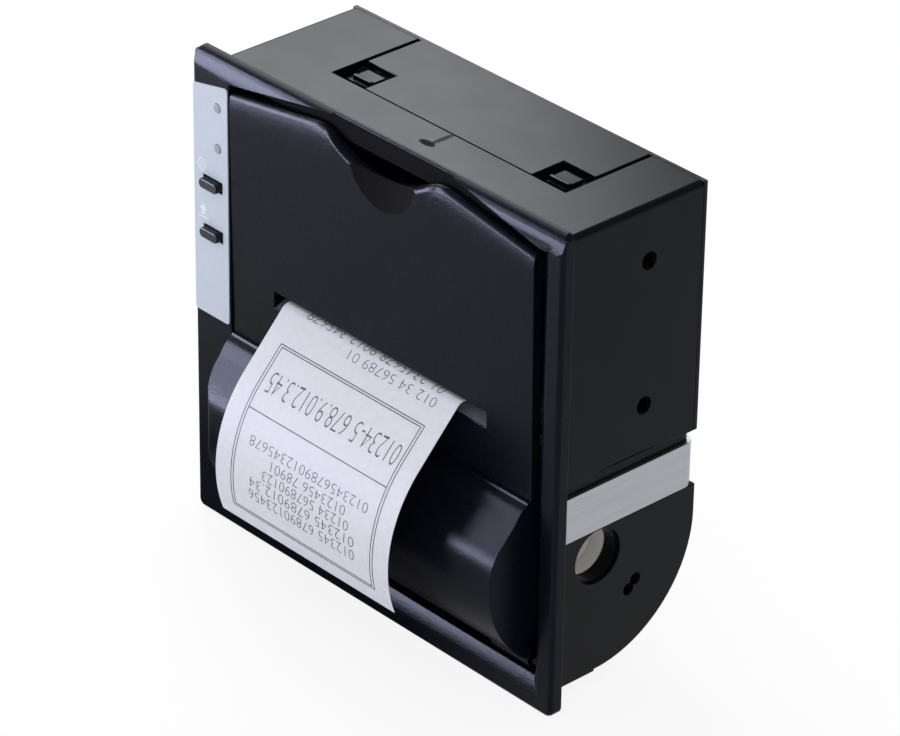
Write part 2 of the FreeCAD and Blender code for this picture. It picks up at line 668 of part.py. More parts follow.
# Sloped inner border: a rectangle that narrows from the flange's front to the opening.
def rim_slope():
    item = doc.addObject("Part::Wedge", "rim_slope")
    part = rim_slope_depth / 4
    reach = 1.25
    for prop, place in (
        ("Xmin", open_left), ("Xmax", open_right + rim_slope_side * reach),
        ("X2min", open_left), ("X2max", open_right),
        ("Ymin", front - part), ("Ymax", front + rim_slope_depth),
        ("Zmin", open_bottom - rim_slope_low * reach), ("Zmax", open_top),
        ("Z2min", open_bottom), ("Z2max", open_top),
    ):
        bind(item, prop, place)
    return item


def hinge_spans():
    right = open_right + hinge_pin_seat
    left = open_left - hinge_pin_seat
    return {"right": (right - hinge_pin_long, right), "left": (left, left + hinge_pin_long)}


def key_screw_x():
    return -inner_half + sleeve_gap + key_board_wide / 2


def key_screw_heights():
    return (("low", key_board_low + post_tall / 2), ("top", key_board_top - post_tall / 2))


# Upper housing: top, sides and floor, open at the front and back.
def upper_housing():
    shell_y = (seat, cover_front)
    top_wall = box("housing_top", (-body_half, body_half), shell_y, (body_top - shell_wall, body_top))
    sides = []
    for name, low, high in (("left", -body_half, -inner_half), ("right", inner_half, body_half)):
        sides.append(box("housing_" + name, (low, high), shell_y, (housing_foot, body_top)))
    floor_y = (floor_front, cover_front)
    floor = box("housing_floor", (-inner_half, inner_half), floor_y,
                (housing_foot, housing_foot + shell_wall))
    shell = rounded(
        "housing_round", fuse("housing_shell", top_wall, floor, *sides), top_round,
        lambda edge: along(edge, "y") and abs(abs(edge.CenterOfMass.x) - body_half.value) < 1e-3
        and abs(edge.CenterOfMass.z - body_top.value) < 1e-3,
    )
    arch_radius = (arch_length * arch_length / 4 + arch_rise * arch_rise) / (arch_rise * 2)
    arch_y = arch_start + arch_length / 2
    arch_z = housing_foot + arch_rise - arch_radius
    cuts = [box("flap_space", (flap_left - flap_groove, flap_right + flap_groove),
                (flap_seam - seam_gap, body_back), (body_top - shell_wall - overrun, body_top + overrun))]
    walls = {"left": (-body_half - overrun, -inner_half), "right": (inner_half, body_half + overrun)}
    for name, span in walls.items():
        cuts.append(rod("arch_" + name, "x", arch_radius, span, (arch_y, arch_z)))
    faces = (("left", -body_half - overrun, -body_half + recess_depth),
             ("right", body_half - recess_depth, body_half + overrun))
    for side, low, high in faces:
        for name, height in (("high", recess_high), ("low", recess_low)):
            mark = side + "_" + name
            cuts.append(rod("recess_" + mark, "x", recess_radius, (low, high), (recess_y, height)))
            ends = (-inner_half + overrun, low) if side == "left" else (inner_half - overrun, high)
            cuts.append(box("recess_slot_" + mark, sorted(ends, key=float),
                            (recess_y - recess_slot_wide / 2, recess_y + recess_slot_wide / 2),
                            (height - recess_slot_high / 2, height + recess_slot_high / 2)))
    for name, place in chassis_screws_at():
        cuts.append(screw_hole("floor_hole_" + name, "z", chassis_seat(), -1, place))
    return node("upper_housing", cut("housing", shell, *cuts))


def along(edge, axis):
    ends = [vertex.Point for vertex in edge.Vertexes]
    if len(ends) != 2:
        return False
    gap = ends[1] - ends[0]
    others = [abs(getattr(gap, letter)) for letter in "xyz" if letter != axis]
    return max(others) < 1e-4 and gap.Length > 1e-4


def chassis_seat():
    return housing_foot + shell_wall + plate_thick


def chassis_screws_at():
    middle = (floor_front + plate_back - plate_thick) / 2
    sides = (("left", -1), ("right", 1))
    return tuple((name, (door_mid + chassis_screw_x * sign, middle)) for name, sign in sides)


# Rear cover: back sheet, top flap with its snap hooks, and bosses for the main board.
def rear_cover():
    back = box("rear_sheet", (-body_half, body_half), (cover_front, body_back), (housing_foot, body_top))
    flap = box("rear_flap", (flap_left, flap_right), (flap_seam, body_back),
               (body_top - shell_wall, body_top))
    windows = []
    hooks = []
    for name, low, high in (
        ("left", flap_left, flap_left + window_wide), ("right", flap_right - window_wide, flap_right),
    ):
        window_x = (low - overrun, high) if name == "left" else (low, high + overrun)
        windows.append(box("window_" + name, window_x, (flap_seam - overrun, flap_seam + window_long),
                           (body_top - shell_wall - overrun, body_top + overrun)))
        inside = (low - tongue_past, high - seam_gap)
        if name == "left":
            inside = (low + seam_gap, high + tongue_past)
        bar_y = flap_seam + hook_back
        tongue_z = body_top - shell_wall
        hooks.append(box("tongue_" + name, inside,
                         (bar_y - tongue_lead, flap_seam + window_long + tongue_past),
                         (tongue_z - shelf_thick, tongue_z)))
        middle = (low + high) / 2
        hook_x = (middle - hook_wide / 2, middle + hook_wide / 2)
        hooks.append(box("hook_bar_" + name, hook_x, (bar_y, bar_y + hook_bar),
                         (tongue_z, body_top - hook_drop)))
        hooks.append(box("hook_plate_" + name, hook_x, (bar_y + hook_bar, bar_y + hook_bar + hook_long),
                         (tongue_z, body_top - hook_drop - hook_step)))
    bosses = [rod("board_boss_" + name, "y", boss_radius, (board_back(), cover_front), place)
              for name, place in board_corners()]
    solid = fuse("rear_solid", cut("rear_opened", fuse("rear_plain", back, flap), *windows), *hooks, *bosses)
    cuts = []
    for name, wide, tall, centre in sockets():
        cuts.append(box("cutout_" + name, (centre - wide / 2 - socket_gap, centre + wide / 2 + socket_gap),
                        (cover_front - overrun, body_back + overrun),
                        (socket_z - tall / 2 - socket_gap, socket_z + tall / 2 + socket_gap)))
    for name, place in board_corners():
        cuts.append(screw_hole("boss_hole_" + name, "y", board_front(), 1, place))
    return node("rear_cover", cut("rear", solid, *cuts))


def board_back():
    return cover_front - board_gap


def board_front():
    return board_back() - board_thick


def board_corners():
    places = []
    for row, height in (("low", board_low + board_inset), ("top", board_top - board_inset)):
        for side, sign in (("left", -1), ("right", 1)):
            places.append((row + "_" + side, ((board_wide / 2 - board_inset) * sign, height)))
    return places


def sockets():
    return (("power", power_wide, power_tall, power_x), ("data", data_wide, data_tall, data_x))


# Paper bucket: quarter-round shell under the housing, with a boss for each paper hub.
def bucket_solid(name, inset, half):
    back = body_back - inset
    upper = box(name + "_upper", (-half, half), (seat - inset, back), (roll_z, housing_foot + inset))
    lower = box(name + "_lower", (-half, half), (seat - inset, roll_y), (body_bottom + inset, roll_z + inset))
    drum = rod(name + "_drum", "x", bucket_radius - inset, (-half, half), (roll_y, roll_z))
    behind = box(name + "_behind", (-half, half), (roll_y - overrun, back), (body_bottom, roll_z + overrun))
    return fuse(name, upper, lower, common(name + "_round", drum, behind))


def strap_core(name, grow):
    half = body_half - strap_thick + grow
    back = body_back - strap_thick + grow
    near = seat - overrun - grow
    return prism(name, "XY", [(-half, near), (half, near), (half, back), (-half, back)],
                 (strap_low, housing_foot + overrun - grow), [(2, strap_bend + grow), (3, strap_bend + grow)])


def paper_bucket():
    shell = cut("bucket_shell", bucket_solid("bucket_out", as_size(0), body_half),
                bucket_solid("bucket_in", shell_wall, inner_half))
    place = (roll_y, roll_z)
    boss = rod("hub_boss", "x", boss_bore + boss_wall, (-inner_half, -inner_half + boss_long), place)
    block = box("groove_block", (-big, big), (seat - overrun, big), (strap_low, housing_foot + overrun))
    groove = cut("strap_groove", block, strap_core("groove_core", 0))
    cuts = [
        groove,
        rod("hub_bore", "x", boss_bore, (-body_half - overrun, -inner_half + boss_long + overrun), place),
        rod("bush_seat", "x", boss_bore + boss_wall, (inner_half - overrun, body_half - bush_lip), place),
        rod("bush_mouth", "x", lip_radius, (inner_half, body_half + overrun), place),
    ]
    for name, angle in (("first", keyhole_angle), ("second", keyhole_angle + keyhole_step)):
        place = (roll_y + keyhole_reach * cosine(angle), roll_z + keyhole_reach * sine(angle))
        cuts.append(rod("near_end_" + name, "x", keyhole_radius,
                        (inner_half - overrun, body_half + overrun), place))
    for name, place in strap_screws_at():
        cuts.append(screw_hole("bucket_hole_" + name, "y", body_back, -1, place))
    return node("paper_bucket", cut("bucket", fuse("bucket_bossed", shell, boss), *cuts))


# Flanged bush in the bucket's right wall, in which the sprung hub slides.
def hub_bush():
    place = (roll_y, roll_z)
    tube_solid = rod("bush_tube", "x", boss_bore + boss_wall,
                     (inner_half - boss_long, body_half - bush_lip), place)
    flange = rod("bush_flange_disc", "x", bush_flange, (inner_half - bush_flange_thick, inner_half), place)
    bore = rod("bush_bore", "x", boss_bore, (inner_half - boss_long - overrun, body_half), place)
    return node("hub_bush", cut("bush", fuse("bush_solid", tube_solid, flange), bore))


def strap_screws_at():
    height = strap_top - strap_high / 2
    return (("left", (-strap_screw_x, height)), ("right", (strap_screw_x, height)))


def mounting_strap():
    outside = strap_core("strap_outside", strap_thick)
    inside = strap_core("strap_inside", 0)
    length = box("strap_length", (-big, big), (strap_front, big), (strap_low, strap_top))
    band = common("strap_band", cut("strap_ring", outside, inside), length)
    holes = [screw_hole("strap_hole_" + name, "y", body_back, -1, place) for name, place in strap_screws_at()]
    return node("mounting_strap", cut("strap", band, *holes))


def strap_screws():
    items = [screw("strap_screw_" + name, "y", body_back, -1, place) for name, place in strap_screws_at()]
    return node("strap_screws", group("strap_screw_pair", *items))


# Keypad
def keypad_label():
    left = -half_w + label_edge
    right = open_left - label_inset
    sheet_solid = prism("label_sheet", "XZ", [
        (left, label_low), (right, label_low), (right, label_right_top), (left, label_left_top),
    ], (front - label_thick, front), [(corner, label_corner) for corner in range(4)])
    depth = (front - overrun, front + overrun)
    cuts = []
    for name, height in (("high", key_high), ("low", key_low)):
        half_long = key_long / 2 + key_gap
        half_tall = key_tall / 2 + key_gap
        cuts.append(box("label_key_" + name, (key_x - half_long, key_x + half_long), depth,
                        (height - half_tall, height + half_tall)))
    for name, height in (("high", led_high), ("low", led_low)):
        cuts.append(rod("label_led_" + name, "y", led_radius + led_gap, depth, (led_x, height)))
    return node("keypad_label", cut("label", sheet_solid, *cuts))


def button(label, height):
    face = front - label_thick - key_proud
    flange_front = front + pocket_wall + key_gap / 6
    flange_back = flange_front + key_flange_thick
    half_long = key_long / 2
    half_tall = key_tall / 2
    low = height - half_tall
    high = height + half_tall
    bar = prism(label + "_bar", "XZ", [
        (key_x - half_long, low), (key_x + half_long, low),
        (key_x + half_long, high), (key_x - half_long, high),
    ], (face, flange_back), [(corner, half_tall * 0.9) for corner in range(4)])
    flange = box(label + "_flange", (key_x - half_long, key_x + half_long), (flange_front, flange_back),
                 (height - key_flange_tall / 2, height + key_flange_tall / 2))
    stem = rod(label + "_stem", "y", key_stem_radius, (flange_front, switch_front() + key_gap),
               (key_x + switch_shift, height))
    return node(label, fuse(label + "_solid", bar, flange, stem))


def switch_front():
    return key_board_y - switch_high


def tact_switches():
    items = []
    for name, height in (("high", key_high), ("low", key_low)):
        middle = key_x + switch_shift
        half = switch_wide / 2
        body = box("switch_" + name, (middle - half, middle + half), (switch_front(), key_board_y),
                   (height - half, height + half))
        depth = key_travel + key_gap * 2
        bore = rod("switch_bore_" + name, "y", key_stem_radius + key_gap,
                   (switch_front() - overrun, switch_front() + depth), (middle, height))
        items.append(cut("switch_bored_" + name, body, bore))
    return node("tact_switches", group("switch_pair", *items))


def keypad_board():
    left = -inner_half + sleeve_gap
    sheet_solid = box("key_board_sheet", (left, left + key_board_wide),
                      (key_board_y, key_board_y + board_thick), (key_board_low, key_board_top))
    holes = [screw_hole("key_board_hole_" + name, "y", key_board_y + board_thick, -1, (key_screw_x(), height))
             for name, height in key_screw_heights()]
    return node("keypad_board", cut("key_board", sheet_solid, *holes))


def keypad_screws():
    items = [screw("key_screw_" + name, "y", key_board_y + board_thick, -1, (key_screw_x(), height))
             for name, height in key_screw_heights()]
    return node("keypad_screws", group("key_screw_pair", *items))


def lamp(label, height):
    face = front - label_thick - led_proud
    return node(label, rod(label + "_rod", "y", led_radius, (face, key_board_y), (led_x, height)))


# Door panel
def door_panel():
    through = (door_face(door_peak) - overrun, door_inside(door_sill) + overrun)
    slab = prism("panel_slab", "YZ", [
        (door_face(door_sill), door_sill), (door_inside(door_sill), door_sill),
        (door_inside(door_peak), door_peak), (door_face(door_peak), door_peak),
    ], (door_left, door_right))
    outline = prism("panel_outline", "XZ", [
        (door_left, door_sill), (door_right, door_sill), (door_right, door_shoulder),
        (door_mid + notch_wide / 2, door_peak), (door_mid - notch_wide / 2, door_peak),
        (door_left, door_shoulder),
    ], through)
    notch_radius = (notch_wide * notch_wide / 4 + notch_dip * notch_dip) / (notch_dip * 2)
    notch = rod("panel_notch", "y", notch_radius, through, (door_mid, door_peak - notch_dip + notch_radius))
    scoop = doc.addObject("Part::Sphere", "panel_scoop")
    bind(scoop, "Radius", scoop_radius)
    bind(scoop, "Placement.Base.x", door_mid + scoop_shift)
    scoop_centre = root(scoop_radius * scoop_radius - scoop_reach * scoop_reach)
    bind(scoop, "Placement.Base.y", front - door_proud - scoop_centre)
    bind(scoop, "Placement.Base.z", door_peak - scoop_drop + scoop_reach)
    slot = box("panel_slot", (slot_left, slot_right), through, (slot_low, slot_top))
    notched = rounded(
        "panel_notched", cut("panel_sharp", common("panel_blank", slab, outline), notch), notch_round,
        lambda edge: along(edge, "y") and edge.CenterOfMass.z > (door_shoulder + door_peak).value / 2,
    )
    eased = rounded(
        "panel_eased", notched, door_round,
        lambda edge: all(
            abs(vertex.Y - door_face(vertex.Z).value) < 1e-4 and vertex.Z > door_shoulder.value - 1e-4
            for vertex in edge.Vertexes
        ),
    )
    return node("door_panel", cut("panel", eased, scoop, slot))


# Roll cover: drum about the roll axis with a flat ramp above it, cheeks and hinge barrels.
def cover_solid(name, inset):
    left = door_left + inset
    right = door_right - inset
    nose = roll_y - roll_radius - cover_room - cover_wall + inset
    drum = rod(name + "_drum", "x", roll_y - nose, (left, right), (roll_y, roll_z))
    away = roll_radius + cover_gap + cover_wall - inset
    back_y = sine(ramp_angle)
    up_z = cosine(ramp_angle)

    def ramp_point(out, down):
        return (roll_y - back_y * out - up_z * down, roll_z + up_z * out - back_y * down)

    near = away - bezel_height
    ramp = prism(name + "_ramp", "YZ", [
        ramp_point(away, bezel_height), ramp_point(away, -bezel_height),
        ramp_point(near, -bezel_height), ramp_point(near, bezel_height),
    ], (left, right))
    blended = rounded(
        name + "_blended", common(name + "_sharp", drum, ramp), cover_blend - inset,
        lambda edge: along(edge, "x") and edge.CenterOfMass.y < front.value,
    )
    back = cover_back + inset
    ends = prism(name + "_ends", "XY", [
        (left, back), (left, nose), (right - draft_right, nose), (right, back),
    ], (-half_h - inset, door_sill + inset), [(1, cover_round - inset)])
    return common(name, blended, ends)


def roll_cover():
    shell = cut("cover_shell", cover_solid("cover_out", as_size(0)), cover_solid("cover_in", cover_wall))
    barrels = []
    bores = []
    for side, low, high in (
        ("right", door_right - hinge_barrel_long, door_right),
        ("left", door_left, door_left + hinge_barrel_long),
    ):
        barrels.append(rod("barrel_" + side, "x", hinge_barrel_radius, (low, high), (hinge_y, hinge_z)))
        bores.append(rod("barrel_bore_" + side, "x", hinge_pin_radius + run_fit,
                         (low - overrun, high + overrun), (hinge_y, hinge_z)))
    return node("roll_cover", cut("cover", fuse("cover_barrelled", shell, *barrels), *bores))


def hinge_pins():
    items = [rod("hinge_pin_" + side, "x", hinge_pin_radius, span, (hinge_y, hinge_z))
             for side, span in hinge_spans().items()]
    return node("hinge_pins", group("hinge_pin_pair", *items))


# Platen carrier: two arms and a cross beam behind the door panel, with the slot's ramp on top.
def platen_carrier():
    arm_out = arm_inner + arm_thick
    beam = prism("carrier_beam", "YZ", [
        (door_inside(beam_low), beam_low), (beam_back, beam_low), (beam_back, slot_low),
        (door_inside(slot_low), slot_low),
    ], (door_mid - arm_out, door_mid + arm_out))
    ramp_from = door_face(slot_low) + seam_gap
    ramp_to = door_face(slot_low) + slot_ramp_long
    ramp = prism("carrier_ramp", "YZ", [
        (ramp_from, slot_low), (ramp_to, slot_low), (ramp_to, slot_low + slot_ramp_rise),
    ], (slot_left, slot_right))
    arms = []
    seats = []
    reach = bush_radius + arm_margin
    for side, sign in (("left", -1), ("right", 1)):
        span = sorted((door_mid + arm_inner * sign, door_mid + arm_out * sign), key=float)
        arms.append(prism("carrier_arm_" + side, "YZ", [
            (door_inside(beam_low), beam_low), (platen_y + reach / 2, beam_low), (platen_y + reach, platen_z),
            (platen_y + reach / 2, platen_z + reach), (platen_y - reach / 2, platen_z + reach),
            (door_inside(slot_low), slot_low),
        ], span))
        hole = (span[0] - overrun, span[1] + overrun)
        seats.append(rod("carrier_seat_" + side, "x", bush_radius, hole, (platen_y, platen_z)))
    solid = fuse("carrier_solid", beam, ramp, *arms)
    return node("platen_carrier", cut("carrier", solid, *seats))


def platen_bushes():
    items = []
    long = plate_inner + plate_thick + bush_end - arm_inner
    for side, sign in (("left", -1), ("right", 1)):
        span = sorted((door_mid + arm_inner * sign, door_mid + (arm_inner + long) * sign), key=float)
        items.append(tube("bush_" + side, "x", bush_radius, shaft_radius + run_fit, span,
                          (platen_y, platen_z)))
    return node("platen_bushes", group("bush_pair", *items))


def tear_bar():
    low = slot_top + tear_gap
    high = low + tear_high
    return node("tear_bar", prism("tear_strip", "YZ", [
        (door_inside(low), low), (door_inside(low) + tear_thick / 4, low),
        (door_inside(low) + tear_thick, low + tear_bevel),
        (door_inside(high) + tear_thick, high), (door_inside(high), high),
    ], (slot_left - tear_past, slot_right + tear_past)))


# A flat band of paper between two parallel lines, drawn in the YZ plane.
def paper_band(name, edges):
    face = Part.Face(Part.Wire(Part.__sortEdges__(edges)))
    item = feature(name, face.extrude(Vector(paper_width.value, 0, 0)))
    bind(item, "Placement.Base.x", paper_left)
    return item


def flat(y, z):
    return Vector(0, y, z)


# Receipt: level through the slot, a bend, a falling run, then a curl under its own weight.
def receipt_strip():
    angle = math.radians(strip_angle.value)
    fall = (-math.cos(angle), -math.sin(angle))
    fold = (strip_fold.value, (platen_z + platen_radius + nip_gap).value)
    trim = strip_bend.value * math.tan(angle / 2)
    bend_centre = (fold[0] + trim, fold[1] - strip_bend.value)
    run_end = [fold[k] + strip_run.value * fall[k] for k in (0, 1)]
    out = (-math.sin(angle), math.cos(angle))
    curl_centre = [run_end[k] - strip_curl.value * out[k] for k in (0, 1)]
    turn = math.radians(strip_turn.value)

    def on(centre, radius, turned_by):
        return flat(centre[0] - radius * math.sin(turned_by), centre[1] + radius * math.cos(turned_by))

    def side(grow):
        near = strip_bend.value + grow
        far = strip_curl.value + grow
        tail = flat(strip_start.value, fold[1] + grow)
        bend = [on(bend_centre, near, angle * share) for share in (0, 0.5, 1)]
        curl = [on(curl_centre, far, angle + turn * share) for share in (0, 0.5, 1)]
        edges = [
            Part.makeLine(tail, bend[0]), Part.Arc(*bend).toShape(),
            Part.makeLine(bend[2], curl[0]), Part.Arc(*curl).toShape(),
        ]
        return edges, tail, curl[2]

    under, under_tail, under_tip = side(0)
    over, over_tail, over_tip = side(paper_thick.value)
    ends = [Part.makeLine(under_tail, over_tail), Part.makeLine(under_tip, over_tip)]
    return node("receipt_strip", paper_band("strip_band", under + over + ends))


# Paper web: from the back of the roll, round the platen, to the print line.
def paper_web():
    roll = (roll_y.value, roll_z.value)
    platen = (platen_y.value, platen_z.value)
    roll_reach = roll_radius.value + nip_gap.value
    platen_reach = platen_radius.value + nip_gap.value
    between = (platen[0] - roll[0], platen[1] - roll[1])
    spread = math.acos((roll_reach - platen_reach) / math.hypot(*between))
    leave = math.atan2(between[1], between[0]) - spread
    nip = math.pi / 2
    lead = web_lead.value

    def point(centre, radius, angle, ahead=0.0):
        return flat(centre[0] + radius * math.cos(angle) - ahead, centre[1] + radius * math.sin(angle))

    def side(grow):
        mid = (leave + nip) / 2
        near = platen_reach + grow
        return [
            Part.makeLine(point(roll, roll_reach + grow, leave), point(platen, near, leave)),
            Part.Arc(*(point(platen, near, angle) for angle in (leave, mid, nip))).toShape(),
            Part.makeLine(point(platen, near, nip), point(platen, near, nip, lead)),
        ]

    far = paper_thick.value
    ends = [
        Part.makeLine(point(roll, roll_reach, leave), point(roll, roll_reach + far, leave)),
        Part.makeLine(point(platen, platen_reach, nip, lead), point(platen, platen_reach + far, nip, lead)),
    ]
    return node("paper_web", paper_band("web_band", side(0) + side(far) + ends))


# Paper roll, core and hubs
def paper_roll():
    span = (paper_left, paper_right)
    return node("paper_roll", tube("roll_paper", "x", roll_radius, core_radius, span, (roll_y, roll_z)))


def roll_core():
    return node("roll_core", tube("core_tube", "x", core_radius, hub_pin_radius + run_fit,
                                  (paper_left, paper_right), (roll_y, roll_z)))


def hub_flange_span():
    near = paper_right + hub_play
    return (near, near + hub_flange_thick)


def right_hub():
    low, high = hub_flange_span()
    place = (roll_y, roll_z)
    pin = rod("hub_pin", "x", hub_pin_radius, (paper_right - hub_pin_long, high), place)
    disc = rod("hub_disc", "x", hub_flange_radius, (low, high), place)
    guide = rod("hub_guide", "x", boss_bore - run_fit, (low, body_half - hub_end_depth), place)
    return node("right_hub", fuse("hub_solid", pin, disc, guide))


def left_hub():
    near = paper_left - hub_play
    place = (roll_y, roll_z)
    pin = rod("left_pin", "x", hub_pin_radius, (near - hub_flange_thick, paper_left + hub_pin_long), place)
    disc = rod("left_disc", "x", hub_flange_radius, (near - hub_flange_thick, near), place)
    seat = rod("left_seat", "x", boss_bore, (-body_half + hub_play, near), place)
    return node("left_hub", fuse("left_hub_solid", pin, disc, seat))


def hub_spring():
    low = hub_flange_span()[1] + spring_gap
    high = inner_half - boss_long - spring_gap
    inner = boss_bore + spring_gap
    outer = inner + spring_wire * 2
    return node("hub_spring", tube("hub_coil", "x", outer, inner, (low, high), (roll_y, roll_z)))


# Gear blank with involute flanks. The angle turns the first tooth's middle from the horizontal.
def gear(label, teeth, bore, centre, angle):
    module = gear_module.value
    pitch = module * teeth / 2
    base = pitch * math.cos(math.radians(20))
    tip = pitch + module * 0.95
    foot = pitch - module * 1.2

    def spread(radius):
        ratio = max(radius / base, 1.0)
        return math.sqrt(ratio * ratio - 1) - math.acos(1 / ratio)

    half = (math.pi * module / 2 - gear_backlash.value) / 2 / pitch + spread(pitch)
    steps = [max(base, foot) + (tip - max(base, foot)) * share / 3 for share in range(4)]
    outline = []
    for tooth in range(teeth):
        middle = angle + 2 * math.pi * tooth / teeth
        rise = [(foot, -half)] + [(radius, -half + spread(radius)) for radius in steps]
        flank = rise + [(radius, -turn) for radius, turn in reversed(rise)]
        for radius, turn in flank:
            outline.append(flat(radius * math.cos(middle + turn), radius * math.sin(middle + turn)))
    outline.append(outline[0])
    low = (door_mid + plate_inner + plate_thick + gear_gap).value
    blank = Part.Face(Part.makePolygon(outline)).extrude(Vector(gear_wide.value, 0, 0))
    hole = Part.makeCylinder(float(bore), gear_wide.value, Vector(), Vector(1, 0, 0))
    item = feature(label + "_wheel", blank.cut(hole))
    item.Placement = FreeCAD.Placement(Vector(low, centre[0].value, centre[1].value), FreeCAD.Rotation())
    return node(label, item)


# Angle that sets a follower's tooth gap against the driver's tooth.
def mesh_angle(driver_angle, driver_teeth, way, teeth):
    phase = ((way - driver_angle) / (2 * math.pi / driver_teeth)) % 1
    return way + math.pi - (0.5 - phase) * 2 * math.pi / teeth


def gear_train():
    away = hinge_pair()
    first = math.atan2(away[1], away[0])
    a_way = first
    b_way = math.radians(idler_b_angle.value)
    p_way = math.radians(pinion_angle.value)
    a_angle = mesh_angle(0.0, platen_teeth, a_way, idler_a_teeth)
    b_angle = mesh_angle(a_angle, idler_a_teeth, b_way, idler_b_teeth)
    p_angle = mesh_angle(b_angle, idler_b_teeth, p_way, pinion_teeth)
    places = gear_places()
    gear("platen_gear", platen_teeth, shaft_radius, places["platen"], 0.0)
    gear("idler_gear_a", idler_a_teeth, pin_radius + run_fit, places["idler_a"], a_angle)
    gear("idler_gear_b", idler_b_teeth, pin_radius + run_fit, places["idler_b"], b_angle)
    gear("motor_pinion", pinion_teeth, motor_shaft, places["pinion"], p_angle)


# Direction from the platen to the first idler, square to the platen's swing about the hinge.
def hinge_pair():
    rise = (platen_y - hinge_y, platen_z - hinge_z)
    long = math.hypot(rise[0].value, rise[1].value)
    return (rise[1].value / long, -rise[0].value / long)


def gear_places():
    def spaced(count, other):
        return gear_module * (count + other) / 2 + gear_space

    rise_y = platen_y - hinge_y
    rise_z = platen_z - hinge_z
    long = root(rise_y * rise_y + rise_z * rise_z)
    a_far = spaced(platen_teeth, idler_a_teeth)
    idler_a = (platen_y + a_far * rise_z / long, platen_z - a_far * rise_y / long)
    b_far = spaced(idler_a_teeth, idler_b_teeth)
    idler_b = (idler_a[0] + b_far * cosine(idler_b_angle), idler_a[1] + b_far * sine(idler_b_angle))
    p_far = spaced(idler_b_teeth, pinion_teeth)
    pinion = (idler_b[0] + p_far * cosine(pinion_angle), idler_b[1] + p_far * sine(pinion_angle))
    return {"platen": (platen_y, platen_z), "idler_a": idler_a, "idler_b": idler_b, "pinion": pinion}


def platen_roller():
    return node("platen_roller", tube("platen_rubber", "x", platen_radius, shaft_radius,
                                      (door_mid - platen_half, door_mid + platen_half), (platen_y, platen_z)))


def gear_end():
    return door_mid + plate_inner + plate_thick + gear_gap + gear_wide


def platen_shaft():
    low = door_mid - plate_inner - plate_thick - gear_gap
    span = (low, gear_end() + shaft_past)
    return node("platen_shaft", rod("platen_rod", "x", shaft_radius, span, (platen_y, platen_z)))


# Mechanism chassis: two plates, a base, a back wall and a bridge over the head springs.
def mech_chassis():
    floor = housing_foot + shell_wall
    places = gear_places()
    plates = []
    cuts = []
    reach = bush_radius + notch_gap
    plate_low = platen_z - reach - arm_margin
    for side, sign in (("left", -1), ("right", 1)):
        faces = (plate_inner, plate_inner + plate_thick)
        span = sorted((door_mid + face * sign for face in faces), key=float)
        plates.append(prism("plate_" + side, "YZ", [
            (plate_front, plate_low), (floor_front - 2, plate_low), (floor_front, floor), (plate_back, floor),
            (plate_back, plate_top), (bridge_back, plate_top), (plate_front, bridge_z),
        ], span))
        hole = (span[0] - overrun, span[1] + overrun)
        cuts.append(rod("notch_end_" + side, "x", reach, hole, (platen_y, platen_z)))
        cuts.append(prism("notch_mouth_" + side, "YZ", [
            (platen_y, platen_z - reach), (platen_y, platen_z + reach),
            (plate_front - overrun, platen_z + reach + notch_flare),
            (plate_front - overrun, platen_z - reach),
        ], hole))
        cuts.append(rod("axle_hole_" + side, "x", axle_radius, hole, head_point(pivot_along, pivot_up)))
    right = (door_mid + plate_inner - overrun, door_mid + plate_inner + plate_thick + overrun)
    for name in ("idler_a", "idler_b"):
        cuts.append(rod("pin_seat_" + name, "x", pin_radius, right, places[name]))
    cuts.append(rod("motor_hole", "x", motor_shaft + notch_gap, right, places["pinion"]))
    inside = (door_mid - plate_inner, door_mid + plate_inner)
    base = box("chassis_base", inside, (floor_front, plate_back), (floor, floor + plate_thick))
    back = box("chassis_back", inside, (plate_back - plate_thick, plate_back), (floor, wall_top))
    bridge = box("chassis_bridge", inside, (bridge_front, bridge_back), (bridge_z, bridge_z + plate_thick))
    for name, place in chassis_screws_at():
        cuts.append(screw_hole("base_hole_" + name, "z", chassis_seat(), -1, place))
    return node("mech_chassis", cut("chassis", fuse("chassis_solid", base, back, bridge, *plates), *cuts))


def chassis_screws():
    items = [screw("chassis_screw_" + name, "z", chassis_seat(), -1, place)
             for name, place in chassis_screws_at()]
    return node("chassis_screws", group("chassis_screw_pair", *items))


def head_axle():
    half = plate_inner + plate_thick
    return node("head_axle", rod("axle_rod", "x", axle_radius, (door_mid - half, door_mid + half),
                                 head_point(pivot_along, pivot_up)))


def idler_pins():
    places = gear_places()
    span = (door_mid + plate_inner, gear_end() + shaft_past)
    items = [rod("pin_" + name, "x", pin_radius, span, places[name]) for name in ("idler_a", "idler_b")]
    return node("idler_pins", group("pin_pair", *items))


def feed_motor():
    place = gear_places()["pinion"]
    face = door_mid + plate_inner
    can = rod("motor_can", "x", motor_radius, (face - motor_long, face), place)
    bore = rod("motor_bore", "x", motor_shaft + run_fit, (face - shaft_seat, face + overrun), place)
    return node("feed_motor", cut("motor", can, bore))


def pinion_shaft():
    face = door_mid + plate_inner
    span = (face - shaft_seat + notch_gap, gear_end() + shaft_past)
    return node("pinion_shaft", rod("pinion_rod", "x", motor_shaft, span, gear_places()["pinion"]))


# Print head: lies level on the paper, over the top of the platen.
def head_point(back, up):
    return (platen_y + back, platen_z + platen_radius + nip_gap * 2 + paper_thick + up)


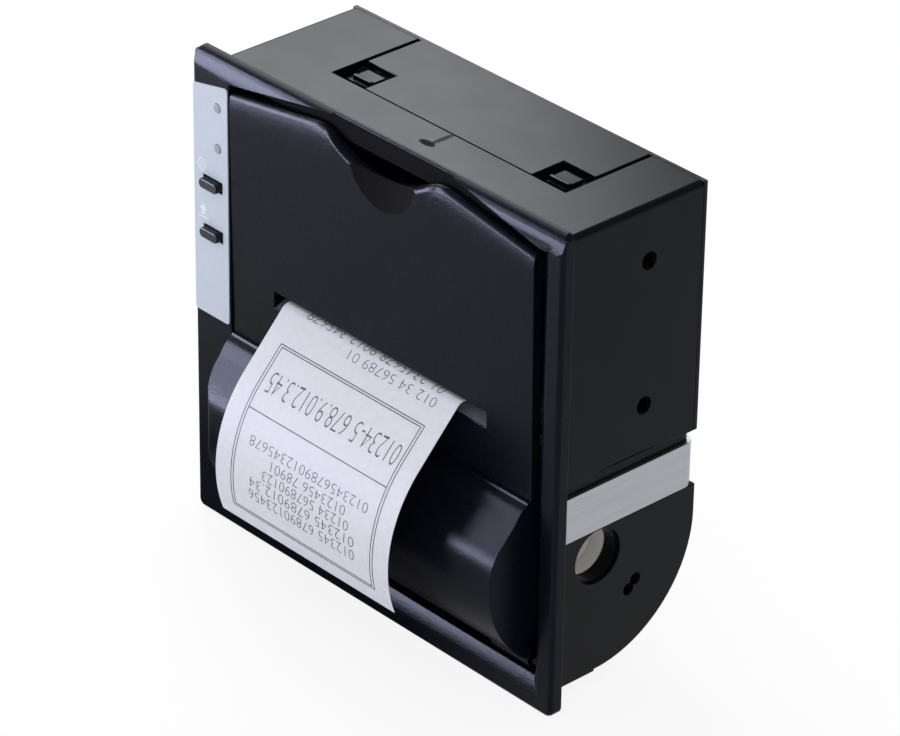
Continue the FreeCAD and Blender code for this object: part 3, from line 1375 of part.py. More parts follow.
def head_heat_sink():
    lug = pivot_lug
    high = pivot_up + lug
    block = prism("head_block", "YZ", [
        head_point(-head_front, ceramic_thick), head_point(head_back, ceramic_thick),
        head_point(head_back, high),
        head_point(pivot_along - lug, high), head_point(pivot_along - lug - ceramic_thick, head_thick),
        head_point(-head_front, head_thick),
    ], (door_mid - head_half, door_mid + head_half))
    bore_half = head_half + overrun
    bore = rod("head_bore", "x", axle_radius + run_fit, (door_mid - bore_half, door_mid + bore_half),
               head_point(pivot_along, pivot_up))
    return node("head_heat_sink", cut("head", block, bore))


def head_ceramic():
    return node("head_ceramic", prism("ceramic_bar", "YZ", [
        head_point(-ceramic_half, 0), head_point(ceramic_half, 0), head_point(ceramic_half, ceramic_thick),
        head_point(-ceramic_half, ceramic_thick),
    ], (door_mid - head_half, door_mid + head_half)))


def head_springs():
    seat = (bridge_front + bridge_back) / 2
    foot = head_point(-head_front, head_thick)[1] + spring_gap
    items = []
    for side, sign in (("left", -1), ("right", 1)):
        place = (door_mid + head_spring_x * sign, seat)
        items.append(tube("head_coil_" + side, "z", head_spring_radius, head_spring_radius - spring_wire,
                          (foot, bridge_z - spring_gap), place))
    return node("head_springs", group("head_coil_pair", *items))


def paper_sensor():
    half = sensor_wide / 2
    low = housing_foot + shell_wall + plate_thick
    return node("paper_sensor", box("sensor_block", (door_mid - half, door_mid + half),
                                    (floor_front, floor_front + sensor_long), (low, low + sensor_high)))


# Electronics
def main_board():
    half = board_wide / 2
    sheet_solid = box("board_sheet", (-half, half), (board_front(), board_back()), (board_low, board_top))
    holes = [screw_hole("board_hole_" + name, "y", board_front(), 1, place)
             for name, place in board_corners()]
    return node("main_board", cut("board", sheet_solid, *holes))


def board_screws():
    items = [screw("board_screw_" + name, "y", board_front(), 1, place) for name, place in board_corners()]
    return node("board_screws", group("board_screw_set", *items))


# Chips: middle and size as shares of the board's width and height.
def board_chips():
    face = board_front()
    tall = board_top - board_low
    items = []
    for name, across, up, wide_share, tall_share in (
        ("processor", -0.083, 0.52, 0.125, 0.26), ("memory", 0.146, 0.565, 0.094, 0.13),
        ("driver", 0.313, 0.39, 0.083, 0.217), ("regulator", -0.313, 0.435, 0.073, 0.196),
    ):
        middle = board_wide * across
        height = board_low + tall * up
        half_wide = board_wide * wide_share / 2
        half_tall = tall * tall_share / 2
        items.append(box("chip_" + name, (middle - half_wide, middle + half_wide), (face - chip_thick, face),
                         (height - half_tall, height + half_tall)))
    return node("board_chips", group("chip_set", *items))


def socket_shell(name, wide, tall, centre):
    face = body_back + socket_proud
    outer = box(name + "_block", (centre - wide / 2, centre + wide / 2), (board_back(), face),
                (socket_z - tall / 2, socket_z + tall / 2))
    half_wide = wide / 2 - socket_wall
    half_tall = tall / 2 - socket_wall
    inner = box(name + "_mouth", (centre - half_wide, centre + half_wide),
                (board_back() + socket_wall, face + overrun), (socket_z - half_tall, socket_z + half_tall))
    return cut(name + "_shell", outer, inner)


def socket(label, which):
    return node(label, socket_shell(*sockets()[which]))


def contact(name, x, z, wide):
    span = (board_back() + socket_wall, body_back - contact_depth)
    return box(name, (x - wide / 2, x + wide / 2), span, (z - wide / 2, z + wide / 2))


def power_contacts():
    items = [contact("power_pin_%d" % number, power_x + shift, socket_z, contact_wide * 2)
             for number, shift in enumerate((-power_pitch / 2, power_pitch / 2))]
    return node("power_contacts", group("power_pin_pair", *items))


def data_contacts():
    items = []
    for column in range(data_columns):
        for row in (-0.5, 0.5):
            x = data_x + contact_pitch * (column - (data_columns - 1) / 2)
            name = "data_pin_%d_%d" % (column, row > 0)
            items.append(contact(name, x, socket_z + contact_pitch * row, contact_wide))
    return node("data_contacts", group("data_pin_set", *items))


front_bezel()
upper_housing()
rear_cover()
paper_bucket()
hub_bush()
mounting_strap()
strap_screws()
keypad_label()
button("feed_button", key_high)
button("print_button", key_low)
tact_switches()
keypad_board()
keypad_screws()
lamp("power_led", led_high)
lamp("status_led", led_low)
door_panel()
roll_cover()
hinge_pins()
platen_carrier()
platen_bushes()
tear_bar()
receipt_strip()
paper_web()
paper_roll()
roll_core()
right_hub()
left_hub()
hub_spring()
gear_train()
platen_roller()
platen_shaft()
mech_chassis()
chassis_screws()
head_axle()
idler_pins()
feed_motor()
pinion_shaft()
head_heat_sink()
head_ceramic()
head_springs()
paper_sensor()
main_board()
board_screws()
board_chips()
socket("power_socket", 0)
socket("data_socket", 1)
power_contacts()
data_contacts()
doc.recompute()

os.makedirs("parts", exist_ok=True)
for item in doc.Objects:
    if "Invalid" in item.State or "Error" in item.State:
        raise RuntimeError("%s did not build" % item.Name)
for label, item in nodes:
    shape = item.Shape
    if shape.isNull() or not shape.isValid() or not shape.Solids:
        raise RuntimeError("%s has no valid solid" % label)
    shape.exportStep("parts/%s.step" % label)
    bounds = shape.BoundBox
    print("%-16s %2d solids %9.1f mm3  x %6.1f %6.1f  y %6.1f %6.1f  z %6.1f %6.1f" % (
        label, len(shape.Solids), shape.Volume, bounds.XMin, bounds.XMax,
        bounds.YMin, bounds.YMax, bounds.ZMin, bounds.ZMax))
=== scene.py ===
import json
import math

import bpy
from mathutils import Matrix, Vector

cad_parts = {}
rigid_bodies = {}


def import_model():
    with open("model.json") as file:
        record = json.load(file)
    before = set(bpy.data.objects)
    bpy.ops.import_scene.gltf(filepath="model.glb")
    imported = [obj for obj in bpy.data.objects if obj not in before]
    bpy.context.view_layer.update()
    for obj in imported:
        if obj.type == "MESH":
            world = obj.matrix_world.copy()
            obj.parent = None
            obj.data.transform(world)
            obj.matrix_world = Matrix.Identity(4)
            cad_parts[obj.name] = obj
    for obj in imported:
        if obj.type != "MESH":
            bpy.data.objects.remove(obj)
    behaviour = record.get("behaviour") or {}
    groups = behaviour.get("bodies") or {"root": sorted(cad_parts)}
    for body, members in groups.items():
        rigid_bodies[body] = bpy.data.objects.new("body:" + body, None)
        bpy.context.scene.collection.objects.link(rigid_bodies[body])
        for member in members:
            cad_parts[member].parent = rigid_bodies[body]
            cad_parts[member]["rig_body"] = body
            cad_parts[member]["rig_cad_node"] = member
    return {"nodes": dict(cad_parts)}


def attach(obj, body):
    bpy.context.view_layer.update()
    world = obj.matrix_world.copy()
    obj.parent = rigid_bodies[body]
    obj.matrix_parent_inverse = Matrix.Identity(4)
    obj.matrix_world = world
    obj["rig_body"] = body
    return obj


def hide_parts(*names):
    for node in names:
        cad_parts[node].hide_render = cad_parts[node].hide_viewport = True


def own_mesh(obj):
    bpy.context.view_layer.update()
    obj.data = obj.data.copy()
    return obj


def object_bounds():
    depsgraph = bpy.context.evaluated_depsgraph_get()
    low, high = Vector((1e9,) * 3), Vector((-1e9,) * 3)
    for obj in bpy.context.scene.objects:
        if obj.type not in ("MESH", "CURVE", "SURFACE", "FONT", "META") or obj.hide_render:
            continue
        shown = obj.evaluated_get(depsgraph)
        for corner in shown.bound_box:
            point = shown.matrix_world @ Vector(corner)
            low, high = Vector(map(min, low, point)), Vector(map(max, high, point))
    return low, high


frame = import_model()
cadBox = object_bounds()
nodes = frame["nodes"]
mm = 0.001
print("frame loaded,", len(nodes), "nodes")


# small helpers

def pick(*items):
    bpy.ops.object.select_all(action="DESELECT")
    for item in items:
        item.select_set(True)
    bpy.context.view_layer.objects.active = items[-1]


def openMesh(item):
    pick(item)
    bpy.ops.object.mode_set(mode="EDIT")
    bpy.ops.mesh.select_mode(type="VERT")
    bpy.ops.mesh.select_all(action="SELECT")


def closeMesh():
    bpy.ops.object.mode_set(mode="OBJECT")


# selects the faces of the open mesh that pass a test
def chooseFaces(item, test):
    bpy.ops.mesh.select_mode(type="FACE")
    bpy.ops.mesh.select_all(action="DESELECT")
    closeMesh()
    for face in item.data.polygons:
        face.select = test(face)
    bpy.ops.object.mode_set(mode="EDIT")


def added(name):
    item = bpy.context.active_object
    item.name = name
    item.data.name = name
    return item


def settle(item):
    pick(item)
    bpy.ops.object.transform_apply(location=True, rotation=True, scale=True)


def applyModifier(item, kind, **settings):
    pick(item)
    modifier = item.modifiers.new(kind.lower(), kind)
    for name, value in settings.items():
        setattr(modifier, name, value)
    bpy.ops.object.modifier_apply(modifier=modifier.name)


def smooth(item, degrees=35):
    pick(item)
    bpy.ops.object.shade_smooth_by_angle(angle=math.radians(degrees))


def place(item, body, slotName, material, *stoodFor):
    settle(item)
    item.data.materials.clear()
    item.data.materials.append(material)
    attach(item, body)
    if stoodFor:
        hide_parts(*stoodFor)
    return item


# materials

def linear(hexText):
    shares = [int(hexText[at:at + 2], 16) / 255 for at in (1, 3, 5)]
    return [c / 12.92 if c <= 0.04045 else ((c + 0.055) / 1.055) ** 2.4 for c in shares] + [1.0]


def addNode(tree, kind, values=None, links=None, **settings):
    node = tree.nodes.new(kind)
    for name, value in settings.items():
        setattr(node, name, value)
    for name, value in (values or {}).items():
        node.inputs[name].default_value = value
    for name, source in (links or {}).items():
        tree.links.new(source, node.inputs[name])
    return node


noiseDetail = 3.0
noiseRange = (0.3, 0.7)  # nearly all values of a noise texture lie between these
waveFactor = 20  # the wave texture multiplies its place by this


# One finish: two shades mixed by a noise of the given grain (mm along X, Y, Z), a roughness that
# follows it, and a bump of the given height (mm).
def finish(recipe):
    material = bpy.data.materials.new(recipe["name"])
    material.use_nodes = True
    tree = material.node_tree
    shader = tree.nodes["Principled BSDF"]
    for name, value in recipe.get("sockets", {}).items():
        shader.inputs[name].default_value = value
    coords = addNode(tree, "ShaderNodeTexCoord")
    grain = [1 / (size * mm) for size in recipe["grain"]]
    spread = addNode(tree, "ShaderNodeMapping", {"Scale": grain}, {"Vector": coords.outputs["Object"]})
    noise = addNode(tree, "ShaderNodeTexNoise", {"Scale": 1.0, "Detail": noiseDetail},
                    {"Vector": spread.outputs["Vector"]})
    level = addNode(tree, "ShaderNodeMapRange", {"From Min": noiseRange[0], "From Max": noiseRange[1]},
                    {"Value": noise.outputs["Fac"]})
    shade = addNode(tree, "ShaderNodeMix", {"A": linear(recipe["dark"]), "B": linear(recipe["light"])},
                    {"Factor": level.outputs["Result"]}, data_type="RGBA")
    low, high = recipe["rough"]
    rough = addNode(tree, "ShaderNodeMapRange", {"To Min": low, "To Max": high},
                    {"Value": level.outputs["Result"]})
    tree.links.new(shade.outputs["Result"], shader.inputs["Base Color"])
    tree.links.new(rough.outputs["Result"], shader.inputs["Roughness"])
    if recipe.get("bump"):
        bump = addNode(tree, "ShaderNodeBump", {"Strength": 1.0, "Distance": recipe["bump"] * mm},
                       {"Height": noise.outputs["Fac"]})
        tree.links.new(bump.outputs["Normal"], shader.inputs["Normal"])
    return material


# Puts a second shade over a finish where a 0..1 mask is high, with its own roughness.
def overlay(material, mask, hexText, roughness=None):
    tree = material.node_tree
    shader = tree.nodes["Principled BSDF"]
    colour = shader.inputs["Base Color"].links[0].from_socket
    mixed = addNode(tree, "ShaderNodeMix", {"B": linear(hexText)}, {"Factor": mask, "A": colour},
                    data_type="RGBA")
    tree.links.new(mixed.outputs["Result"], shader.inputs["Base Color"])
    if roughness is not None:
        old = shader.inputs["Roughness"].links[0].from_socket
        blended = addNode(tree, "ShaderNodeMix", {"B": roughness}, {"Factor": mask, "A": old})
        tree.links.new(blended.outputs["Result"], shader.inputs["Roughness"])


# black ABS from a spark-eroded mould: matt blue-black with a fine sparkle.
# The real grain is near 0.1 mm, drawn at 0.35 mm so that it shows.
texturedAbs = finish({
    "name": "black ABS, spark-eroded mould", "dark": "#080A14", "light": "#0E101B",
    "grain": (0.35, 0.35, 0.35), "rough": (0.22, 0.29), "bump": 0.05,
    "sockets": {"Specular IOR Level": 0.065},
})
# black ABS from a polished mould: deep black that mirrors the lamps softly
satinRecipe = {
    "dark": "#05070A", "light": "#090B0F", "grain": (9, 9, 9), "rough": (0.22, 0.25), "bump": 0.004,
    "sockets": {"Specular IOR Level": 0.09},
}
satinAbs = finish({"name": "black ABS, satin mould", **satinRecipe})
# the same ABS on the housing, which carries the gate scar on its top
housingAbs = finish({"name": "black ABS, housing", **satinRecipe})
# steel strip, zinc plated and brushed along its length: pale grey with fine level lines
zincSteel = finish({
    "name": "zinc-plated steel strip", "dark": "#A2A3A9", "light": "#AEAFB6",
    "grain": (30, 30, 0.5), "rough": (0.34, 0.42),
    "sockets": {"Metallic": 1.0},
})
# phosphated steel of the mechanism: mid grey and dull, with a fine grain
phosphateSteel = finish({
    "name": "phosphated steel", "dark": "#4C4D52", "light": "#5C5D63",
    "grain": (0.8, 0.8, 0.8), "rough": (0.6, 0.7), "bump": 0.004,
    "sockets": {"Metallic": 0.6, "Specular IOR Level": 0.1},
})
# zinc-plated screws: bright, slightly mottled
screwSteel = finish({
    "name": "zinc-plated screw steel", "dark": "#8E9096", "light": "#B9BBC2",
    "grain": (0.8, 0.8, 0.8), "rough": (0.25, 0.38), "sockets": {"Metallic": 1.0},
})
# ground steel rod: bright, with faint turning lines round it
groundSteel = finish({
    "name": "ground steel rod", "dark": "#A9ABB0", "light": "#C9CBD0",
    "grain": (0.4, 6, 6), "rough": (0.16, 0.26), "sockets": {"Metallic": 1.0},
})
# drawn spring wire: darker, oily grey
springSteel = finish({
    "name": "drawn spring wire", "dark": "#77797F", "light": "#9C9EA5",
    "grain": (0.6, 0.6, 0.6), "rough": (0.22, 0.34), "sockets": {"Metallic": 1.0},
})
# polycarbonate film with a fine matt lacquer: cool pale grey
labelFilm = finish({
    "name": "matt polycarbonate film", "dark": "#C4CDDB", "light": "#CCD5E2",
    "grain": (0.5, 0.5, 0.5), "rough": (0.42, 0.52), "bump": 0.003,
    "sockets": {"Specular IOR Level": 0.12},
})
# white screen ink on the film
labelInk = finish({
    "name": "white screen ink", "dark": "#DCE1E8", "light": "#E6EAF0",
    "grain": (0.4, 0.4, 0.4), "rough": (0.5, 0.6), "sockets": {"Specular IOR Level": 0.3},
})
# moulded button plastic: dark grey with a silky face
buttonAbs = finish({
    "name": "grey ABS button", "dark": "#101217", "light": "#181A20",
    "grain": (0.5, 0.5, 0.5), "rough": (0.3, 0.4), "bump": 0.004,
    "sockets": {"Specular IOR Level": 0.2},
})
# diffused lamp resin, unlit: milky grey with a trace of its colour
lampRecipe = {
    "grain": (0.6, 0.6, 0.6), "rough": (0.45, 0.55),
    "sockets": {"Subsurface Weight": 0.2, "Subsurface Scale": 0.0005, "Specular IOR Level": 0.15},
}
greenLampResin = finish({
    "name": "diffused lamp resin, green", "dark": "#94A1A7", "light": "#9FACB1", **lampRecipe,
})
redLampResin = finish({
    "name": "diffused lamp resin, red", "dark": "#989AA7", "light": "#A3A5B1", **lampRecipe,
})
# black ABS in the thumb scoop and the recess behind it: a rough, dull even black with almost no sheen, which
# is painted shade standing in for the shade that falls in these hollows
recessShadeAbs = finish({
    "name": "black ABS, painted recess shade", "dark": "#0D0C0D", "light": "#131213",
    "grain": (0.5, 0.5, 0.5), "rough": (0.8, 0.9), "sockets": {"Specular IOR Level": 0.03},
})
# grey acetal of the paper guide: satin and slightly cloudy
guideAcetal = finish({
    "name": "grey acetal guide", "dark": "#666675", "light": "#737382",
    "grain": (2, 2, 2), "rough": (0.32, 0.42), "sockets": {"Specular IOR Level": 0.4},
})
# oil-blackened steel: near black with a soft sheen
blackSteel = finish({
    "name": "oil-blackened steel", "dark": "#0C0C0E", "light": "#151518",
    "grain": (0.5, 2, 2), "rough": (0.4, 0.5), "sockets": {"Metallic": 1.0},
})
# coated thermal paper: cool white, with a faint cloudiness from its fibres
paperRecipe = {
    "dark": "#D9DAE4", "light": "#E0E1EA", "grain": (1.6, 1.6, 1.6), "rough": (0.5, 0.6), "bump": 0.003,
    "sockets": {"Specular IOR Level": 0.1},
}
thermalPaper = finish({"name": "coated thermal paper", **paperRecipe})
# thermal print: dark grey dots that run together
thermalPrint = finish({
    "name": "thermal print", "dark": "#1B1C22", "light": "#33343B",
    "grain": (0.4, 0.4, 0.4), "rough": (0.55, 0.65), "sockets": {"Specular IOR Level": 0.2},
})
# spiral-wound board: dull grey-brown, slightly rough
coreBoard = finish({
    "name": "wound core board", "dark": "#9B8F80", "light": "#B4A897",
    "grain": (1.2, 0.5, 0.5), "rough": (0.75, 0.85), "bump": 0.02,
})
# acetal gears: waxy white
whiteAcetal = finish({
    "name": "moulded white acetal", "dark": "#D2D1CA", "light": "#DDDCD6",
    "grain": (4, 4, 4), "rough": (0.35, 0.45),
    "sockets": {"Subsurface Weight": 0.1, "Subsurface Scale": 0.0008},
})
# ground silicone rubber: matt near-black with fine rings
platenRubber = finish({
    "name": "ground rubber roller", "dark": "#17171A", "light": "#222226",
    "grain": (0.4, 3, 3), "rough": (0.7, 0.82), "bump": 0.006,
})
# extruded aluminium: dull mid grey, with drawn lines along X
headAluminium = finish({
    "name": "extruded aluminium", "dark": "#84868A", "light": "#97999D",
    "grain": (25, 0.5, 0.5), "rough": (0.5, 0.6), "sockets": {"Metallic": 1.0},
})
# glazed alumina: off-white and glossy
headCeramic = finish({
    "name": "glazed alumina", "dark": "#D9D4C6", "light": "#E3DFD2",
    "grain": (2, 2, 2), "rough": (0.12, 0.2),
})
# turned brass: warm yellow, with fine lines round it
brass = finish({
    "name": "turned brass", "dark": "#A88B4C", "light": "#C7A862",
    "grain": (0.5, 3, 3), "rough": (0.22, 0.34), "sockets": {"Metallic": 1.0},
})
# moulded epoxy on the chips: dark grey, slightly grainy
chipResin = finish({
    "name": "moulded chip epoxy", "dark": "#161618", "light": "#202023",
    "grain": (0.25, 0.25, 0.25), "rough": (0.5, 0.62), "bump": 0.004,
})
# nylon of the sockets: natural, slightly creamy
socketNylon = finish({
    "name": "natural nylon socket", "dark": "#C9C6B8", "light": "#D6D3C7",
    "grain": (3, 3, 3), "rough": (0.4, 0.5),
})
# black glass-filled nylon of the push switches
switchNylon = finish({
    "name": "black nylon switch", "dark": "#131315", "light": "#1D1D20",
    "grain": (0.4, 0.4, 0.4), "rough": (0.45, 0.55), "bump": 0.004,
})
# glass-epoxy board under green resist: the copper shows as paler strips
circuitBoard = finish({
    "name": "green circuit board", "dark": "#0F3A22", "light": "#164A2C",
    "grain": (2, 2, 2), "rough": (0.28, 0.38),
})


# copper strips every 1.6 mm across the board, in areas of about 7 mm that a larger noise picks out
tracks = {"pitch": 1.6, "turn": 45, "stripEdge": (0.62, 0.7), "area": 7, "areaEdge": (0.48, 0.52),
          "shade": "#2E7A4A"}


def addTracks(material):
    tree = material.node_tree
    coords = addNode(tree, "ShaderNodeTexCoord")
    turned = addNode(tree, "ShaderNodeMapping", {"Rotation": (0, math.radians(tracks["turn"]), 0)},
                     {"Vector": coords.outputs["Object"]})
    scale = math.tau / (waveFactor * tracks["pitch"] * mm)
    wave = addNode(tree, "ShaderNodeTexWave", {"Scale": scale, "Distortion": 0.0},
                   {"Vector": turned.outputs["Vector"]}, bands_direction="X")
    low, high = tracks["stripEdge"]
    strip = addNode(tree, "ShaderNodeMapRange", {"From Min": low, "From Max": high},
                    {"Value": wave.outputs["Fac"]})
    noise = addNode(tree, "ShaderNodeTexNoise", {"Scale": 1 / (tracks["area"] * mm), "Detail": 0.0},
                    {"Vector": coords.outputs["Object"]})
    low, high = tracks["areaEdge"]
    area = addNode(tree, "ShaderNodeMapRange", {"From Min": low, "From Max": high},
                   {"Value": noise.outputs["Fac"]})
    both = addNode(tree, "ShaderNodeMath", None, None, operation="MULTIPLY")
    tree.links.new(strip.outputs["Result"], both.inputs[0])
    tree.links.new(area.outputs["Result"], both.inputs[1])
    overlay(material, both.outputs["Value"], tracks["shade"])


# the ends of the wound paper show fine rings, 0.5 mm apart where the real layers are 0.06 mm
winding = {"axis": (0, 13 * mm, -26 * mm), "pitch": 0.5, "wobble": 0.6, "ringEdge": (0.7, 1.0),
           "strength": 0.5, "shade": "#B9BAC4"}


def addWinding(material):
    tree = material.node_tree
    coords = addNode(tree, "ShaderNodeTexCoord")
    centred = addNode(tree, "ShaderNodeMapping", {"Location": [-value for value in winding["axis"]]},
                      {"Vector": coords.outputs["Object"]})
    scale = math.tau / (waveFactor * winding["pitch"] * mm)
    wave = addNode(tree, "ShaderNodeTexWave", {"Scale": scale, "Distortion": winding["wobble"]},
                   {"Vector": centred.outputs["Vector"]}, wave_type="RINGS", rings_direction="X")
    low, high = winding["ringEdge"]
    ring = addNode(tree, "ShaderNodeMapRange",
                   {"From Min": low, "From Max": high, "To Max": winding["strength"]},
                   {"Value": wave.outputs["Fac"]})
    overlay(material, ring.outputs["Result"], winding["shade"])


patchFade = (1.1, 0.75)  # where a patch begins and is full, in shares of its half size


# a round or long patch in X and Y: 1 in the middle, 0 outside
def patch(tree, middle, half, turn):
    coords = addNode(tree, "ShaderNodeTexCoord")
    moved = addNode(tree, "ShaderNodeMapping", {"Location": (-middle[0] * mm, -middle[1] * mm, 0)},
                    {"Vector": coords.outputs["Object"]})
    turned = addNode(tree, "ShaderNodeMapping",
                     {"Rotation": (0, 0, turn), "Scale": (1 / (half[0] * mm), 1 / (half[1] * mm), 0)},
                     {"Vector": moved.outputs["Vector"]})
    reach = addNode(tree, "ShaderNodeVectorMath", None, {"Vector": turned.outputs["Vector"]},
                    operation="LENGTH")
    return addNode(tree, "ShaderNodeMapRange", {"From Min": patchFade[0], "From Max": patchFade[1]},
                   {"Value": reach.outputs["Value"]}).outputs["Result"]


# the hub's bush: black outside, with a pale sleeve deeper in that shows through the side's hole
bushSleeve = {"ends": (52.2, 51.8), "shade": "#D6D5D0", "rough": 0.4}
bushAbs = finish({"name": "black ABS bush, pale sleeve", **satinRecipe})
bushTree = bushAbs.node_tree
bushPlace = addNode(bushTree, "ShaderNodeSeparateXYZ", None,
                    {"Vector": addNode(bushTree, "ShaderNodeTexCoord").outputs["Object"]})
sleeveStart, sleeveFull = (end * mm for end in bushSleeve["ends"])
inSleeve = addNode(bushTree, "ShaderNodeMapRange", {"From Min": sleeveStart, "From Max": sleeveFull},
                   {"Value": bushPlace.outputs["X"]})
overlay(bushAbs, inSleeve.outputs["Result"], bushSleeve["shade"], bushSleeve["rough"])

woundPaper = finish({"name": "wound thermal paper", **paperRecipe})
addTracks(circuitBoard)
addWinding(woundPaper)
# gate scar: a smear towards the seam, and over it the dull patch left by the sprue (mm)
gateScar = [
    {"middle": (5.6, 12.4), "half": (0.75, 3.9), "turn": 0.12, "shade": "#0A0A0C", "rough": 0.5},
    {"middle": (4.7, 8.6), "half": (2.3, 1.1), "turn": 0.3, "shade": "#050506", "rough": 0.75},
]
for mark in gateScar:
    mask = patch(housingAbs.node_tree, mark["middle"], mark["half"], mark["turn"])
    overlay(housingAbs, mask, mark["shade"], mark["rough"])
print("materials made")

nodeFinish = {
    "front_bezel": texturedAbs, "door_panel": texturedAbs, "roll_cover": texturedAbs,
    "upper_housing": housingAbs, "rear_cover": satinAbs, "paper_bucket": satinAbs, "hub_bush": bushAbs,
    "mounting_strap": zincSteel, "strap_screws": screwSteel, "keypad_label": labelFilm,
    "feed_button": buttonAbs, "print_button": buttonAbs, "tact_switches": switchNylon,
    "keypad_board": circuitBoard, "keypad_screws": screwSteel, "power_led": greenLampResin,
    "status_led": redLampResin, "hinge_pins": blackSteel, "platen_carrier": guideAcetal,
    "platen_bushes": whiteAcetal, "tear_bar": groundSteel, "receipt_strip": thermalPaper,
    "paper_web": thermalPaper, "paper_roll": woundPaper, "roll_core": coreBoard, "right_hub": whiteAcetal,
    "left_hub": whiteAcetal, "hub_spring": springSteel, "platen_gear": whiteAcetal,
    "idler_gear_a": whiteAcetal, "idler_gear_b": whiteAcetal, "motor_pinion": brass,
    "platen_roller": platenRubber, "platen_shaft": groundSteel, "mech_chassis": phosphateSteel,
    "chassis_screws": screwSteel, "head_axle": groundSteel, "idler_pins": groundSteel,
    "feed_motor": zincSteel, "pinion_shaft": groundSteel, "head_heat_sink": headAluminium,
    "head_ceramic": headCeramic, "head_springs": springSteel, "paper_sensor": switchNylon,
    "main_board": circuitBoard, "board_screws": screwSteel, "board_chips": chipResin,
    "power_socket": socketNylon, "data_socket": socketNylon, "power_contacts": brass, "data_contacts": brass,
}
for name, material in nodeFinish.items():
    nodes[name].data.materials.clear()
    nodes[name].data.materials.append(material)
print("finishes on", len(nodeFinish), "nodes")


# moulded and stamped shells: copies of the solids with their edges eased (mm)
shells = {
    "bezelMoulding": {"node": "front_bezel", "body": "housing", "slot": "textured_black_plastic",
                      "ease": 0.25},
    "doorMoulding": {"node": "door_panel", "body": "door", "slot": "textured_black_plastic", "ease": 0.2},
    "rollCoverMoulding": {"node": "roll_cover", "body": "door", "slot": "textured_black_plastic",
                          "ease": 0.2},
    "housingMoulding": {"node": "upper_housing", "body": "housing", "slot": "satin_black_plastic",
                        "ease": 0.2},
    "rearCoverMoulding": {"node": "rear_cover", "body": "housing", "slot": "satin_black_plastic",
                          "ease": 0.2},
    "bucketMoulding": {"node": "paper_bucket", "body": "housing", "slot": "satin_black_plastic", "ease": 0.2},
    "strapBand": {"node": "mounting_strap", "body": "housing", "slot": "zinc_plated_steel", "ease": 0.1},
    "feedKeycap": {"node": "feed_button", "body": "feed_key", "slot": "grey_button_plastic", "ease": 0.35},
    "printKeycap": {"node": "print_button", "body": "print_key", "slot": "grey_button_plastic", "ease": 0.35},
    "powerLampLens": {"node": "power_led", "body": "housing", "slot": "green_lamp_resin", "ease": 0.3},
    "statusLampLens": {"node": "status_led", "body": "housing", "slot": "red_lamp_resin", "ease": 0.3},
}


easing = {"segments": 2, "sharper": 32, "merge": 0.001, "flat": 0.5}  # mm and degrees


# A copy of a solid's mesh, free of the frame, merged, with its flat faces made whole again.
def copyOfNode(name, nodeName):
    pick(nodes[nodeName])
    bpy.ops.object.duplicate()
    item = added(name)
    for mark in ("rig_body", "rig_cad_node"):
        del item[mark]
    item.parent = None
    if item.data.has_custom_normals:
        bpy.ops.mesh.customdata_custom_splitnormals_clear()
    openMesh(item)
    bpy.ops.mesh.remove_doubles(threshold=easing["merge"] * mm)
    bpy.ops.mesh.dissolve_limited(angle_limit=math.radians(easing["flat"]))
    closeMesh()
    return item


# the bezel's soft rims. Each entry: the axis across it, the ridge (y, across), the directions that its two
# faces look in, radius, the stretch that it may touch, and the lines that divide its faces first (mm)
rims = [
    {"axis": 2, "ridge": (-2.2, 59.8), "faces": ((-0.9656, 0.26), (0, 1)), "radius": 2.6, "span": (50, 60),
     "lines": (57.9, 58.3, 58.7, 59.1, 59.5)},
    {"axis": 2, "ridge": (-3.6, 54.6), "faces": ((-1, 0), (-0.9656, 0.26)), "radius": 19, "span": (50, 60),
     "lines": (52.4, 53.1, 53.9, 55.3, 56.1, 56.9)},
    {"axis": 2, "ridge": (-3.6, -56.5), "faces": ((-1, 0), (-0.906, 0.423)), "radius": 13.5,
     "span": (-60, -51), "lines": (-59.2, -58.4, -57.6, -57.0, -56.0, -55.2, -54.4, -53.6)},
    {"axis": 0, "ridge": (-3.6, 55.6), "faces": ((-1, 0), (-0.79, -0.61)), "radius": 7.6,
     "span": (52.5, 60.1), "lines": (58.0, 57.4, 56.8, 56.2, 55.0, 54.4, 53.8)},
]
# what else the rounding needs: lines on the bezel's top, which faces count, and the furthest move (mm)
rimRules = {"topLines": (-1.7, -1.2, -0.7, -0.2), "topFrom": 59, "topFacing": 0.9, "frontFacing": -0.3,
            "furthest": 1.2}


